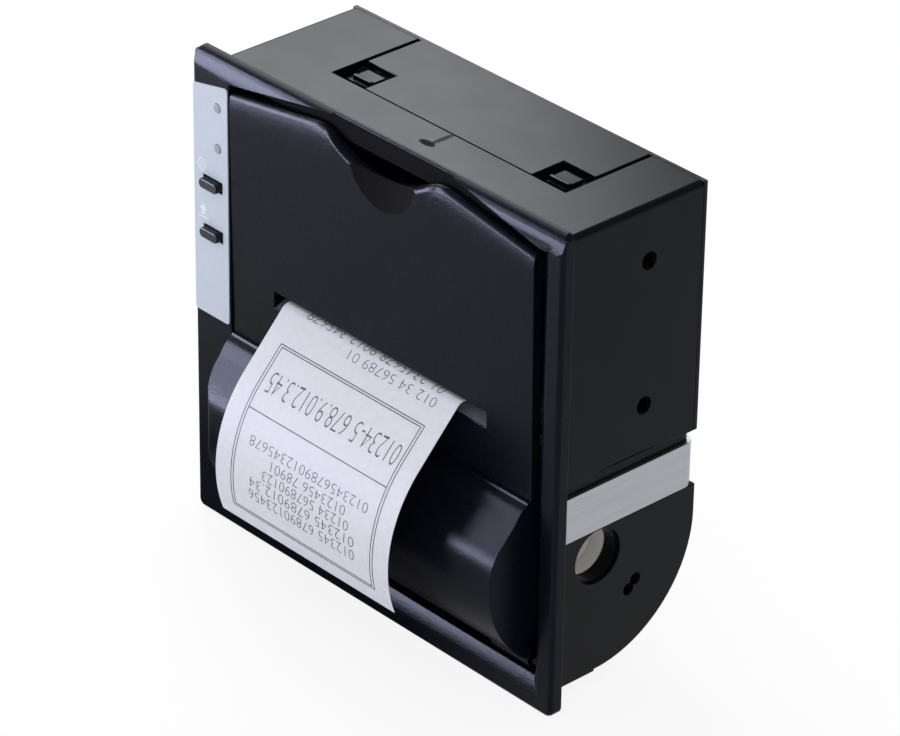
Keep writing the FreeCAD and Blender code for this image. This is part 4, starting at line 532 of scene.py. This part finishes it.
def roundRims(item):
    openMesh(item)
    for rim in rims:
        way = Vector([1.0 if axis == rim["axis"] else 0.0 for axis in range(3)])
        low, high = (side * mm for side in rim["span"])
        for line in rim["lines"]:
            chooseFaces(item, lambda face: face.normal.y < rimRules["frontFacing"]
                        and low < face.center[rim["axis"]] < high)
            bpy.ops.mesh.bisect(plane_co=way * line * mm, plane_no=way)
    for line in rimRules["topLines"]:
        chooseFaces(item, lambda face: face.normal.z > rimRules["topFacing"]
                    and face.center.z > rimRules["topFrom"] * mm)
        bpy.ops.mesh.bisect(plane_co=(0, line * mm, 0), plane_no=(0, 1, 0))
    closeMesh()
    moved = 0
    for rim in rims:
        first, second = (Vector(face) for face in rim["faces"])
        centre = Vector(rim["ridge"]) - (first + second) * rim["radius"] / (1 + first.dot(second))
        turn = first.x * second.y - first.y * second.x
        for point in item.data.vertices:
            across = point.co[rim["axis"]] / mm
            arm = Vector((point.co.y / mm, across)) - centre
            pastFirst = (first.x * arm.y - first.y * arm.x) * turn > 0
            beforeSecond = (arm.x * second.y - arm.y * second.x) * turn > 0
            inSpan = rim["span"][0] < across < rim["span"][1]
            proud = 0 < arm.length - rim["radius"] < rimRules["furthest"]
            if pastFirst and beforeSecond and inSpan and proud:
                goal = centre + arm.normalized() * rim["radius"]
                point.co.y = goal.x * mm
                point.co[rim["axis"]] = goal.y * mm
                moved += 1
    print("rims rounded:", moved, "points")


# the door's front: the thumb scoop's ball, and the band below its sloped top edges that leans back (mm)
doorFront = {"ball": (4.0, -31.11, 54.2), "ballRadius": 29.15, "ballFacets": (160, 80), "scoopNear": 0.08,
             "scoopFacing": -0.5, "middle": 2.5, "notchHalf": 17.4, "peak": 57.3, "half": 49.4,
             "shoulder": 52.8, "bands": (1.4, 2.2, 3.1, 4.2, 5.5, 7.0, 8.5),
             "columns": (12.5, 14, 15.5, 17, 18), "lean": (0.75, 0.2), "deep": (8.5, 4.0),
             "fade": (12.5, 18.0), "facing": -0.7, "facesBefore": -2.2, "pointsBefore": -2.3}


# cuts the scoop again with a fine ball, so that its facets don't show
def recutScoop(item):
    bpy.ops.object.select_all(action="DESELECT")
    segments, rings = doorFront["ballFacets"]
    bpy.ops.mesh.primitive_uv_sphere_add(segments=segments, ring_count=rings,
                                         radius=doorFront["ballRadius"] * mm,
                                         location=Vector(doorFront["ball"]) * mm)
    ball = added("scoopBall")
    settle(ball)
    applyModifier(item, "BOOLEAN", object=ball, operation="DIFFERENCE", solver="EXACT")
    pick(ball)
    bpy.ops.object.delete()


def onDoorFront(face):
    return face.normal.y < doorFront["facing"] and face.center.y < doorFront["facesBefore"] * mm


def leanTop(item):
    bands, fade = doorFront["bands"], doorFront["fade"]
    rise = doorFront["peak"] - doorFront["shoulder"]
    run = doorFront["half"] - doorFront["notchHalf"]
    for side in (-1, 1):
        start = Vector((doorFront["middle"] + side * doorFront["notchHalf"], 0, doorFront["peak"]))
        down = Vector((-side * rise, 0, -run)).normalized()
        openMesh(item)
        for depth in bands:
            chooseFaces(item, onDoorFront)
            bpy.ops.mesh.bisect(plane_co=(start + down * depth) * mm, plane_no=down)
        for across in doorFront["columns"]:
            chooseFaces(item, onDoorFront)
            column = doorFront["middle"] + side * across
            bpy.ops.mesh.bisect(plane_co=(column * mm, 0, 0), plane_no=(1, 0, 0))
        closeMesh()
        for point in item.data.vertices:
            spot = point.co / mm
            depth = (Vector((spot.x, 0, spot.z)) - start).dot(down)
            out = side * (spot.x - doorFront["middle"])
            far = min(max((out - fade[1]) / (doorFront["half"] - fade[1]), 0), 1)
            deep = doorFront["deep"][0] * (1 - far) + doorFront["deep"][1] * far
            lean = doorFront["lean"][0] * (1 - far) + doorFront["lean"][1] * far
            if spot.y < doorFront["pointsBefore"] and depth < deep and out > fade[0]:
                share = (deep - max(depth, bands[0])) / (deep - bands[0])
                fading = min((out - fade[0]) / (fade[1] - fade[0]), 1)
                point.co.y += lean * share * share * fading * mm


# the cover's ramp (mm): its top edge stands forward as a thin lip below the door's foot, and the slope
# bulges below it. The outer skin lies on a line that starts "skinBack" before the front, at the top.
coverRamp = {"top": -7.9, "lip": -8.5, "foot": -13.01, "front": -3.0, "forward": 0.36, "bulge": 0.47,
             "length": 6.07, "out": (0, -0.743, 0.669), "steps": 10, "facing": -0.3, "slope": 0.9,
             "skinBack": 0.4, "skinNear": 0.3, "topNear": 0.05}


def shapeRamp(item):
    drop = coverRamp["lip"] - coverRamp["foot"]
    openMesh(item)
    for step in range(coverRamp["steps"]):
        chooseFaces(item, lambda face: face.normal.y < coverRamp["facing"])
        level = coverRamp["lip"] - drop * step / coverRamp["steps"]
        bpy.ops.mesh.bisect(plane_co=(0, 0, level * mm), plane_no=(0, 0, 1))
    closeMesh()
    for point in item.data.vertices:
        level = point.co.z / mm
        skin = coverRamp["front"] - coverRamp["skinBack"] + (level - coverRamp["top"]) * coverRamp["slope"]
        onSkin = abs(point.co.y / mm - skin) < coverRamp["skinNear"]
        if level > coverRamp["top"] - coverRamp["topNear"] and point.co.y < coverRamp["front"] * mm:
            point.co.y -= coverRamp["forward"] * mm
        elif onSkin and coverRamp["foot"] < level < coverRamp["lip"]:
            share = (coverRamp["lip"] - level) / drop
            push = coverRamp["bulge"] * share * (1 - share) ** 2 * coverRamp["length"]
            point.co += Vector(coverRamp["out"]) * push * mm


# the faces that get the painted shade: the floor of the bezel's recess behind the notch, and the scoop in the
# door
bezelRecess = {"facing": -0.9, "floor": -1.0, "near": 0.3, "from": 52.0}


def inRecess(face):
    middle = face.center / mm
    return (face.normal.y < bezelRecess["facing"] and middle.z > bezelRecess["from"]
            and abs(middle.y - bezelRecess["floor"]) < bezelRecess["near"])


def inScoop(face):
    reach = (face.center / mm - Vector(doorFront["ball"])).length
    return (abs(reach - doorFront["ballRadius"]) < doorFront["scoopNear"]
            and face.normal.y < doorFront["scoopFacing"])


# paints shade: the chosen faces take the dull black that stands in for the shade in the hollows
def paintRecessShade(item, test):
    item.data.materials.append(recessShadeAbs)
    for face in item.data.polygons:
        if test(face):
            face.material_index = 1


for name, shell in shells.items():
    item = copyOfNode(name, shell["node"])
    if name == "rollCoverMoulding":
        shapeRamp(item)
    if name == "bezelMoulding":
        roundRims(item)
    if name == "doorMoulding":
        recutScoop(item)
        leanTop(item)
    applyModifier(item, "BEVEL", width=shell["ease"] * mm, segments=easing["segments"], limit_method="ANGLE",
                  angle_limit=math.radians(easing["sharper"]), use_clamp_overlap=False)
    smooth(item)
    applyModifier(item, "WEIGHTED_NORMAL", keep_sharp=True)
    place(item, shell["body"], shell["slot"], nodeFinish[shell["node"]], shell["node"])
    # painted shade on the bezel's recess and in the door's scoop
    if name == "bezelMoulding":
        paintRecessShade(item, inRecess)
    if name == "doorMoulding":
        paintRecessShade(item, inScoop)
print("shells eased:", len(shells))


# screws: eased heads with a cross recess. Each entry: its node and the way its heads point.
screwSets = {
    "strapScrewSet": ("strap_screws", Vector((0, 1, 0))),
    "keypadScrewSet": ("keypad_screws", Vector((0, 1, 0))),
    "chassisScrewSet": ("chassis_screws", Vector((0, 0, 1))),
    "boardScrewSet": ("board_screws", Vector((0, -1, 0))),
}
screwHead = {"ease": 0.25, "crossLong": 2.7, "crossWide": 0.55, "crossDeep": 0.8}


def cutCross(screw, way):
    points = [point.co for point in screw.data.vertices]
    top = max(point.dot(way) for point in points)
    low = Vector([min(point[axis] for point in points) for axis in range(3)])
    high = Vector([max(point[axis] for point in points) for axis in range(3)])
    middle = (low + high) / 2
    middle += way * (top - middle.dot(way))
    across = [axis for axis in range(3) if abs(way[axis]) < 0.5]
    for longAxis in across:
        sizes = [screwHead["crossWide"] * mm] * 3
        sizes[longAxis] = screwHead["crossLong"] * mm
        sizes[3 - across[0] - across[1]] = screwHead["crossDeep"] * 2 * mm  # along the screw
        bpy.ops.object.select_all(action="DESELECT")
        bpy.ops.mesh.primitive_cube_add(size=1, location=middle)
        cutter = added("crossCutter")
        cutter.scale = sizes
        settle(cutter)
        applyModifier(screw, "BOOLEAN", object=cutter, operation="DIFFERENCE", solver="EXACT")
        pick(cutter)
        bpy.ops.object.delete()


for name, (nodeName, way) in screwSets.items():
    body = nodes[nodeName]["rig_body"]
    item = copyOfNode(name, nodeName)
    applyModifier(item, "BEVEL", width=screwHead["ease"] * mm, segments=easing["segments"],
                  limit_method="ANGLE", angle_limit=math.radians(easing["sharper"]))
    openMesh(item)
    bpy.ops.mesh.separate(type="LOOSE")
    closeMesh()
    screws = list(bpy.context.selected_objects)
    for screw in screws:
        cutCross(screw, way)
    pick(*screws)
    if len(screws) > 1:
        bpy.ops.object.join()
    item = added(name)
    smooth(item)
    place(item, body, "screw_steel", screwSteel, nodeName)
    print(name, len(screws), "screws")


# the receipt: a strip of paper that leaves the slot level, bends down and curls back at its end
receipt = {"width": 58.0, "middle": 0.85, "tail": 6.0, "level": 7.3, "flatRun": 8.837, "bendRadius": 2.0,
           "bend": 46.7, "fall": 16.537, "curlRadius": 31.7, "curl": 64.3, "top": 0.2, "paper": 0.1,
           "grid": (24, 90)}


# A point of the strip's path at a length along it (mm), lifted off its underside. Y and Z in mm.
def stripPoint(along, lift):
    bend, curl = math.radians(receipt["bend"]), math.radians(receipt["curl"])
    bendLength = receipt["bendRadius"] * bend
    y, z = receipt["tail"], receipt["level"]
    step = min(along, receipt["flatRun"])
    y, along = y - step, along - step
    angle = min(max(along / receipt["bendRadius"], 0), bend)
    y -= receipt["bendRadius"] * math.sin(angle)
    z -= receipt["bendRadius"] * (1 - math.cos(angle))
    along -= bendLength
    step = min(max(along, 0), receipt["fall"])
    y, z, along = y - step * math.cos(bend), z - step * math.sin(bend), along - step
    turn = min(max(along / receipt["curlRadius"], 0), curl)
    y -= receipt["curlRadius"] * (math.sin(bend + turn) - math.sin(bend))
    z -= receipt["curlRadius"] * (math.cos(bend) - math.cos(bend + turn))
    angle += turn
    return y - lift * math.sin(angle), z + lift * math.cos(angle)


def stripLength():
    return (receipt["flatRun"] + receipt["bendRadius"] * math.radians(receipt["bend"]) + receipt["fall"]
            + receipt["curlRadius"] * math.radians(receipt["curl"]))


# Bends a flat layout onto the strip: X stays, -Y is the length along it and Z the lift, all in mm here.
def bendOnStrip(item):
    for point in item.data.vertices:
        x, along, lift = point.co.x, -point.co.y, point.co.z
        y, z = stripPoint(along, lift)
        point.co = (x * mm, y * mm, z * mm)


length = stripLength()
bpy.ops.object.select_all(action="DESELECT")
gridWide, gridLong = receipt["grid"]
bpy.ops.mesh.primitive_grid_add(x_subdivisions=gridWide, y_subdivisions=gridLong, size=1,
                                location=(receipt["middle"], -length / 2, receipt["top"] - receipt["paper"]))
paper = added("receiptPaper")
paper.scale = (receipt["width"], length, 1)
settle(paper)
openMesh(paper)
bpy.ops.mesh.extrude_region_move(TRANSFORM_OT_translate={"value": (0, 0, receipt["paper"])})
bpy.ops.mesh.select_all(action="SELECT")
bpy.ops.mesh.normals_make_consistent(inside=False)
closeMesh()
bendOnStrip(paper)
smooth(paper)
place(paper, "door", "thermal_paper", thermalPaper, "receipt_strip")
print("receipt", round(length, 2), "mm long")

# what the receipt carries: plain numbers in a double frame, upside down as the paper comes out
receiptPrint = {
    "rows": [
        # text, right end, left end (X), foot and height along the strip
        ("01 2345678 9012 345678", 24.0, -20.6, 7.6, 2.5),
        ("012 34 56789 01", 24.2, -4.3, 11.1, 2.4),
        ("01234-5 678.9.012.3.45", 22.8, -20.2, 23.6, 5.2),
        ("0123456789012345678", 21.0, -18.4, 38.5, 2.4),
        ("0123456 78901", 14.6, -10.2, 41.8, 2.4),
        ("01234 567890123", 16.3, -12.5, 44.8, 2.4),
        ("012345 6789012.34", 18.5, -16.5, 47.8, 2.5),
        ("012345 67890123456", 18.7, -16.7, 50.9, 2.6),
    ],
    "frames": [(-23.0, 24.9, 17.6, 58.4), (-22.2, 24.1, 18.2, 57.8)], "rule": 33.25,
    "line": 0.24, "thin": 0.022, "ink": 0.01, "lift": 0.21, "step": 0.7, "curveSteps": 3, "merge": 0.0005,
}


def flatBar(name, left, right, top, foot):
    bpy.ops.object.select_all(action="DESELECT")
    bpy.ops.mesh.primitive_plane_add(size=1, location=((left + right) / 2, -(top + foot) / 2, 0))
    bar = added(name)
    bar.scale = (right - left, foot - top, 1)
    settle(bar)
    openMesh(bar)
    bpy.ops.mesh.extrude_region_move(TRANSFORM_OT_translate={"value": (0, 0, receiptPrint["ink"])})
    bpy.ops.mesh.select_all(action="SELECT")
    bpy.ops.mesh.normals_make_consistent(inside=False)
    closeMesh()
    return bar


def flatText(name, text, right, left, foot, height):
    bpy.ops.object.select_all(action="DESELECT")
    bpy.ops.object.text_add()
    words = added(name)
    words.data.body = text
    words.data.extrude = receiptPrint["ink"] / 2
    words.data.offset = -receiptPrint["thin"]
    words.data.resolution_u = receiptPrint["curveSteps"]
    bpy.ops.object.convert(target="MESH")
    words = bpy.context.active_object
    corners = [Vector(corner) for corner in words.bound_box]
    low, high = corners[0], corners[6]
    words.data.transform(Matrix.Translation((-low.x, -low.y, -low.z)))
    words.scale = ((right - left) / (high.x - low.x), height / (high.y - low.y), 1)
    words.rotation_euler = (0, 0, math.pi)
    words.location = (right, -foot, 0)
    settle(words)
    openMesh(words)
    bpy.ops.mesh.remove_doubles(threshold=receiptPrint["merge"])
    closeMesh()
    return words


line = receiptPrint["line"]
inked = []
for number, (left, right, top, foot) in enumerate(receiptPrint["frames"]):
    inked.append(flatBar("frameTop%d" % number, left, right, top, top + line))
    inked.append(flatBar("frameFoot%d" % number, left, right, foot - line, foot))
    inked.append(flatBar("frameLeft%d" % number, left, left + line, top + line, foot - line))
    inked.append(flatBar("frameRight%d" % number, right - line, right, top + line, foot - line))
left, right = receiptPrint["frames"][1][:2]
rule = receiptPrint["rule"]
inked.append(flatBar("frameRule", left + line, right - line, rule, rule + line))
for number, row in enumerate(receiptPrint["rows"]):
    inked.append(flatText("printRow%d" % number, *row))
pick(*inked)
bpy.ops.object.join()
ink = added("receiptNumbers")
openMesh(ink)
for cutLine in range(int(length / receiptPrint["step"])):
    bpy.ops.mesh.select_all(action="SELECT")
    bpy.ops.mesh.bisect(plane_co=(0, -cutLine * receiptPrint["step"], 0), plane_no=(0, 1, 0))
closeMesh()
ink.data.transform(Matrix.Translation((0, 0, receiptPrint["lift"])))
bendOnStrip(ink)
place(ink, "door", "thermal_paper", thermalPrint)
print("receipt print,", len(ink.data.polygons), "faces")


# marks on the label: a diamond with a bar in it, an arrow over a line (mm, heights from the mark's middle)
labelMarks = {"face": -3.9, "ink": 0.02, "diamond": (-56.6, 31.5), "diamondHalf": (1.75, 2.0),
              "diamondLine": 0.4, "barHalf": (0.2, 0.9), "arrow": (-56.2, 19.6), "arrowHalf": 1.3,
              "arrowTip": 1.9, "arrowNeck": 0.5, "arrowTail": -0.7, "lineHalf": 1.7,
              "lineHeights": (-1.7, -1.2)}


def flatShape(name, corners):
    bpy.ops.object.select_all(action="DESELECT")
    bpy.ops.mesh.primitive_circle_add(vertices=len(corners), radius=1, fill_type="NGON",
                                      location=(0, labelMarks["face"] * mm, 0))
    shape = added(name)
    settle(shape)
    for point, (x, z) in zip(shape.data.vertices, corners):
        point.co = (x * mm, labelMarks["face"] * mm, z * mm)
    openMesh(shape)
    bpy.ops.mesh.extrude_region_move(TRANSFORM_OT_translate={"value": (0, -labelMarks["ink"] * mm, 0)})
    bpy.ops.mesh.select_all(action="SELECT")
    bpy.ops.mesh.normals_make_consistent(inside=False)
    closeMesh()
    return shape


marks = []
x, z = labelMarks["diamond"]
halfX, halfZ = labelMarks["diamondHalf"]
slim = 1 - labelMarks["diamondLine"] / halfX
corners = [(0, halfZ), (halfX, 0), (0, -halfZ), (-halfX, 0)]
for number in range(4):
    (ax, az), (bx, bz) = corners[number], corners[(number + 1) % 4]
    marks.append(flatShape("diamondSide%d" % number, [
        (x + ax, z + az), (x + bx, z + bz), (x + bx * slim, z + bz * slim), (x + ax * slim, z + az * slim)]))
halfX, halfZ = labelMarks["barHalf"]
marks.append(flatShape("diamondBar", [
    (x - halfX, z - halfZ), (x + halfX, z - halfZ), (x + halfX, z + halfZ), (x - halfX, z + halfZ)]))
x, z = labelMarks["arrow"]
half = labelMarks["arrowHalf"]
tip, neck, tail = (z + labelMarks[part] for part in ("arrowTip", "arrowNeck", "arrowTail"))
marks.append(flatShape("arrowHead", [
    (x, tip), (x - half, neck), (x - half / 2, neck), (x - half / 2, tail),
    (x + half / 2, tail), (x + half / 2, neck), (x + half, neck)]))
half = labelMarks["lineHalf"]
low, high = (z + height for height in labelMarks["lineHeights"])
marks.append(flatShape("arrowLine", [(x - half, low), (x + half, low), (x + half, high), (x - half, high)]))
pick(*marks)
bpy.ops.object.join()
place(added("labelSigns"), "housing", "label_film", labelInk)
print("label signs placed")


# coil springs: a wire section swept along its screw line (mm)
springs = {
    "hubCoil": {"axis": "X", "start": (33.3, 13.0, -26.0), "reach": 7.0, "wire": 0.46, "length": 11.2,
                "turns": 6},
    "headCoilLeft": {"axis": "Z", "start": (-17.5, 9.55, 12.5), "reach": 1.72, "wire": 0.25, "length": 8.2,
                     "turns": 8},
    "headCoilRight": {"axis": "Z", "start": (22.5, 9.55, 12.5), "reach": 1.72, "wire": 0.25, "length": 8.2,
                      "turns": 8},
}
coilDetail = {"wireSides": 10, "stepsPerTurn": 28, "smoothBelow": 50}


def coil(name, spring):
    start = Vector(spring["start"]) * mm
    wire = spring["wire"] * mm
    along = Vector((1, 0, 0)) if spring["axis"] == "X" else Vector((0, 0, 1))
    side = Vector((0, 0, 1)) if spring["axis"] == "X" else Vector((1, 0, 0))
    bpy.ops.object.select_all(action="DESELECT")
    wireStart = start + along * wire + side * spring["reach"] * mm
    bpy.ops.mesh.primitive_circle_add(vertices=coilDetail["wireSides"], radius=wire, location=wireStart,
                                      rotation=(math.pi / 2, 0, 0))
    item = added(name)
    bpy.context.scene.cursor.location = start
    bpy.ops.object.origin_set(type="ORIGIN_CURSOR")
    bpy.ops.object.transform_apply(location=False, rotation=True, scale=True)
    pitch = (spring["length"] * mm - 2 * wire) / spring["turns"]
    steps = coilDetail["stepsPerTurn"]
    applyModifier(item, "SCREW", axis=spring["axis"], angle=math.tau, screw_offset=pitch,
                  iterations=spring["turns"], steps=steps, render_steps=steps)
    settle(item)
    openMesh(item)
    bpy.ops.mesh.fill_holes(sides=0)
    bpy.ops.mesh.select_all(action="SELECT")
    bpy.ops.mesh.normals_make_consistent(inside=False)
    closeMesh()
    smooth(item, coilDetail["smoothBelow"])
    return item


hubCoil = place(coil("hubCoil", springs["hubCoil"]), "housing", "spring_steel", springSteel, "hub_spring")
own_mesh(hubCoil)
headCoils = [coil(name, springs[name]) for name in ("headCoilLeft", "headCoilRight")]
pick(*headCoils)
bpy.ops.object.join()
headCoil = place(added("headCoils"), "housing", "spring_steel", springSteel, "head_springs")
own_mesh(headCoil)
print("springs wound")

# stage (m): a pale floor that runs out of view, just below the part. The camera and mirrors see it white,
# but mirrored close to the part it is as dark as the shade that the part throws there.
floorLook = {"size": 12, "below": 0.0002, "paint": "#E8E8EA", "white": 0.88, "shadeMiddle": (-0.042, 0.01),
             "shadeHalf": (0.052, 0.045), "shadeFade": (1.1, 1.9), "darkest": 0.05}
bpy.ops.object.select_all(action="DESELECT")
bpy.ops.mesh.primitive_plane_add(size=floorLook["size"], location=(0, 0, cadBox[0].z - floorLook["below"]))
floor = added("floor")
floorPaint = bpy.data.materials.new("matt white sweep")
floorPaint.use_nodes = True
tree = floorPaint.node_tree
tree.nodes.clear()
rays = addNode(tree, "ShaderNodeLightPath")
mirrored = addNode(tree, "ShaderNodeMath", None, None, operation="ADD", use_clamp=True)
tree.links.new(rays.outputs["Is Glossy Ray"], mirrored.inputs[0])
tree.links.new(rays.outputs["Is Transmission Ray"], mirrored.inputs[1])
coords = addNode(tree, "ShaderNodeTexCoord")
(middleX, middleY), (halfX, halfY) = floorLook["shadeMiddle"], floorLook["shadeHalf"]
near = addNode(tree, "ShaderNodeMapping",
               {"Location": (-middleX / halfX, -middleY / halfY, 0), "Scale": (1 / halfX, 1 / halfY, 0)},
               {"Vector": coords.outputs["Object"]})
reach = addNode(tree, "ShaderNodeVectorMath", None, {"Vector": near.outputs["Vector"]}, operation="LENGTH")
low, high = floorLook["shadeFade"]
shade = addNode(tree, "ShaderNodeMapRange",
                {"From Min": low, "From Max": high, "To Min": floorLook["darkest"], "To Max": 1.0},
                {"Value": reach.outputs["Value"]})
lit = addNode(tree, "ShaderNodeMix", {"A": 1.0},
              {"Factor": mirrored.outputs["Value"], "B": shade.outputs["Result"]})
seenAll = addNode(tree, "ShaderNodeMath", None, None, operation="ADD", use_clamp=True)
tree.links.new(rays.outputs["Is Camera Ray"], seenAll.inputs[0])
tree.links.new(mirrored.outputs["Value"], seenAll.inputs[1])
share = addNode(tree, "ShaderNodeMath", None, None, operation="MULTIPLY")
tree.links.new(seenAll.outputs["Value"], share.inputs[0])
share.inputs[1].default_value = floorLook["white"]
matt = addNode(tree, "ShaderNodeBsdfDiffuse", {"Color": linear(floorLook["paint"])})
glow = addNode(tree, "ShaderNodeEmission", {"Color": (1, 1, 1, 1)}, {"Strength": lit.outputs["Result"]})
mixed = addNode(tree, "ShaderNodeMixShader", None, {"Fac": share.outputs["Value"]})
tree.links.new(matt.outputs["BSDF"], mixed.inputs[1])
tree.links.new(glow.outputs["Emission"], mixed.inputs[2])
addNode(tree, "ShaderNodeOutputMaterial", None, {"Surface": mixed.outputs["Shader"]})
floor.data.materials.append(floorPaint)

# the room: what it lights the part with, and the backdrop that the camera and mirrors see, which is white up
# to a little above the floor and falls off into a dim ceiling
roomLook = {"light": 0.82, "backdrop": (1.0, 0.35), "heights": (0.02, 0.2)}
world = bpy.data.worlds.new("white room")
bpy.context.scene.world = world
world.use_nodes = True
tree = world.node_tree
tree.nodes.clear()
rays = addNode(tree, "ShaderNodeLightPath")
seen = addNode(tree, "ShaderNodeMath", None, None, operation="ADD", use_clamp=True)
tree.links.new(rays.outputs["Is Camera Ray"], seen.inputs[0])
tree.links.new(rays.outputs["Is Glossy Ray"], seen.inputs[1])
seenAll = addNode(tree, "ShaderNodeMath", None, None, operation="ADD", use_clamp=True)
tree.links.new(seen.outputs["Value"], seenAll.inputs[0])
tree.links.new(rays.outputs["Is Transmission Ray"], seenAll.inputs[1])
coords = addNode(tree, "ShaderNodeTexCoord")
height = addNode(tree, "ShaderNodeSeparateXYZ", None, {"Vector": coords.outputs["Generated"]})
(low, high), (wall, ceiling) = roomLook["heights"], roomLook["backdrop"]
backdrop = addNode(tree, "ShaderNodeMapRange",
                   {"From Min": low, "From Max": high, "To Min": wall, "To Max": ceiling},
                   {"Value": height.outputs["Z"]})
strength = addNode(tree, "ShaderNodeMix", {"A": roomLook["light"]},
                   {"Factor": seenAll.outputs["Value"], "B": backdrop.outputs["Result"]})
sky = addNode(tree, "ShaderNodeBackground", {"Color": (1, 1, 1, 1)}, {"Strength": strength.outputs["Result"]})
addNode(tree, "ShaderNodeOutputWorld", None, {"Surface": sky.outputs["Background"]})

# lamps: place, what they look at, size (m), brightness of their face and tint. Two act on sheen only.
lamps = {
    "overheadSoftbox": {"at": (-0.86, 0.3, 0.74), "aim": (0, 0.02, 0.05), "size": (1.04, 0.5), "glow": 7.6,
                        "tint": (0.93, 0.94, 1.0)},
    "crownPanel": {"at": (-0.28, -0.3, 0.0125), "aim": (-0.02, 0, 0.05), "size": (0.24, 0.095), "glow": 56.0,
                   "tint": (0.66, 0.7, 1.0), "sheenOnly": True},
    "rampPanel": {"at": (-0.355, -0.255, 0.15), "aim": (-0.04, -0.01, -0.01), "size": (0.14, 0.2),
                  "glow": 46.0, "tint": (0.7, 0.74, 1.0), "sheenOnly": True},
}
for name, lamp in lamps.items():
    bpy.ops.object.light_add(type="AREA", location=lamp["at"])
    light = added(name)
    wide, tall = lamp["size"]
    light.data.shape = "RECTANGLE"
    light.data.size, light.data.size_y = wide, tall
    light.data.energy = lamp["glow"] * math.pi * wide * tall
    light.data.color = lamp["tint"]
    light.visible_diffuse = not lamp.get("sheenOnly", False)
    aim = Vector(lamp["aim"]) - Vector(lamp["at"])
    light.rotation_mode = "QUATERNION"
    light.rotation_quaternion = aim.to_track_quat("-Z", "Y")

# camera at the photograph's angle (degrees, m, lens in mm)
view = {"azimuth": 47.247, "elevation": 30.036, "roll": 0.867, "target": (0.02627, -0.00363, 0.01453),
        "distance": 1.04098, "lens": 193.22, "clip": (0.01, 50)}
azimuth, elevation, roll = (math.radians(view[name]) for name in ("azimuth", "elevation", "roll"))
back = Vector((math.sin(azimuth) * math.cos(elevation), -math.cos(azimuth) * math.cos(elevation),
               math.sin(elevation)))
level = Vector((math.cos(azimuth), math.sin(azimuth), 0))
upright = back.cross(level)
right = level * math.cos(roll) + upright * math.sin(roll)
upward = upright * math.cos(roll) - level * math.sin(roll)
bpy.ops.object.camera_add(location=Vector(view["target"]) + back * view["distance"])
camera = added("camera")
camera.rotation_mode = "QUATERNION"
camera.rotation_quaternion = Matrix((right, upward, back)).transposed().to_quaternion()
camera.data.lens = view["lens"]
camera.data.clip_start, camera.data.clip_end = view["clip"]
bpy.context.scene.camera = camera
bpy.context.scene.view_settings.view_transform = "Standard"
print("stage, lamps and camera set")
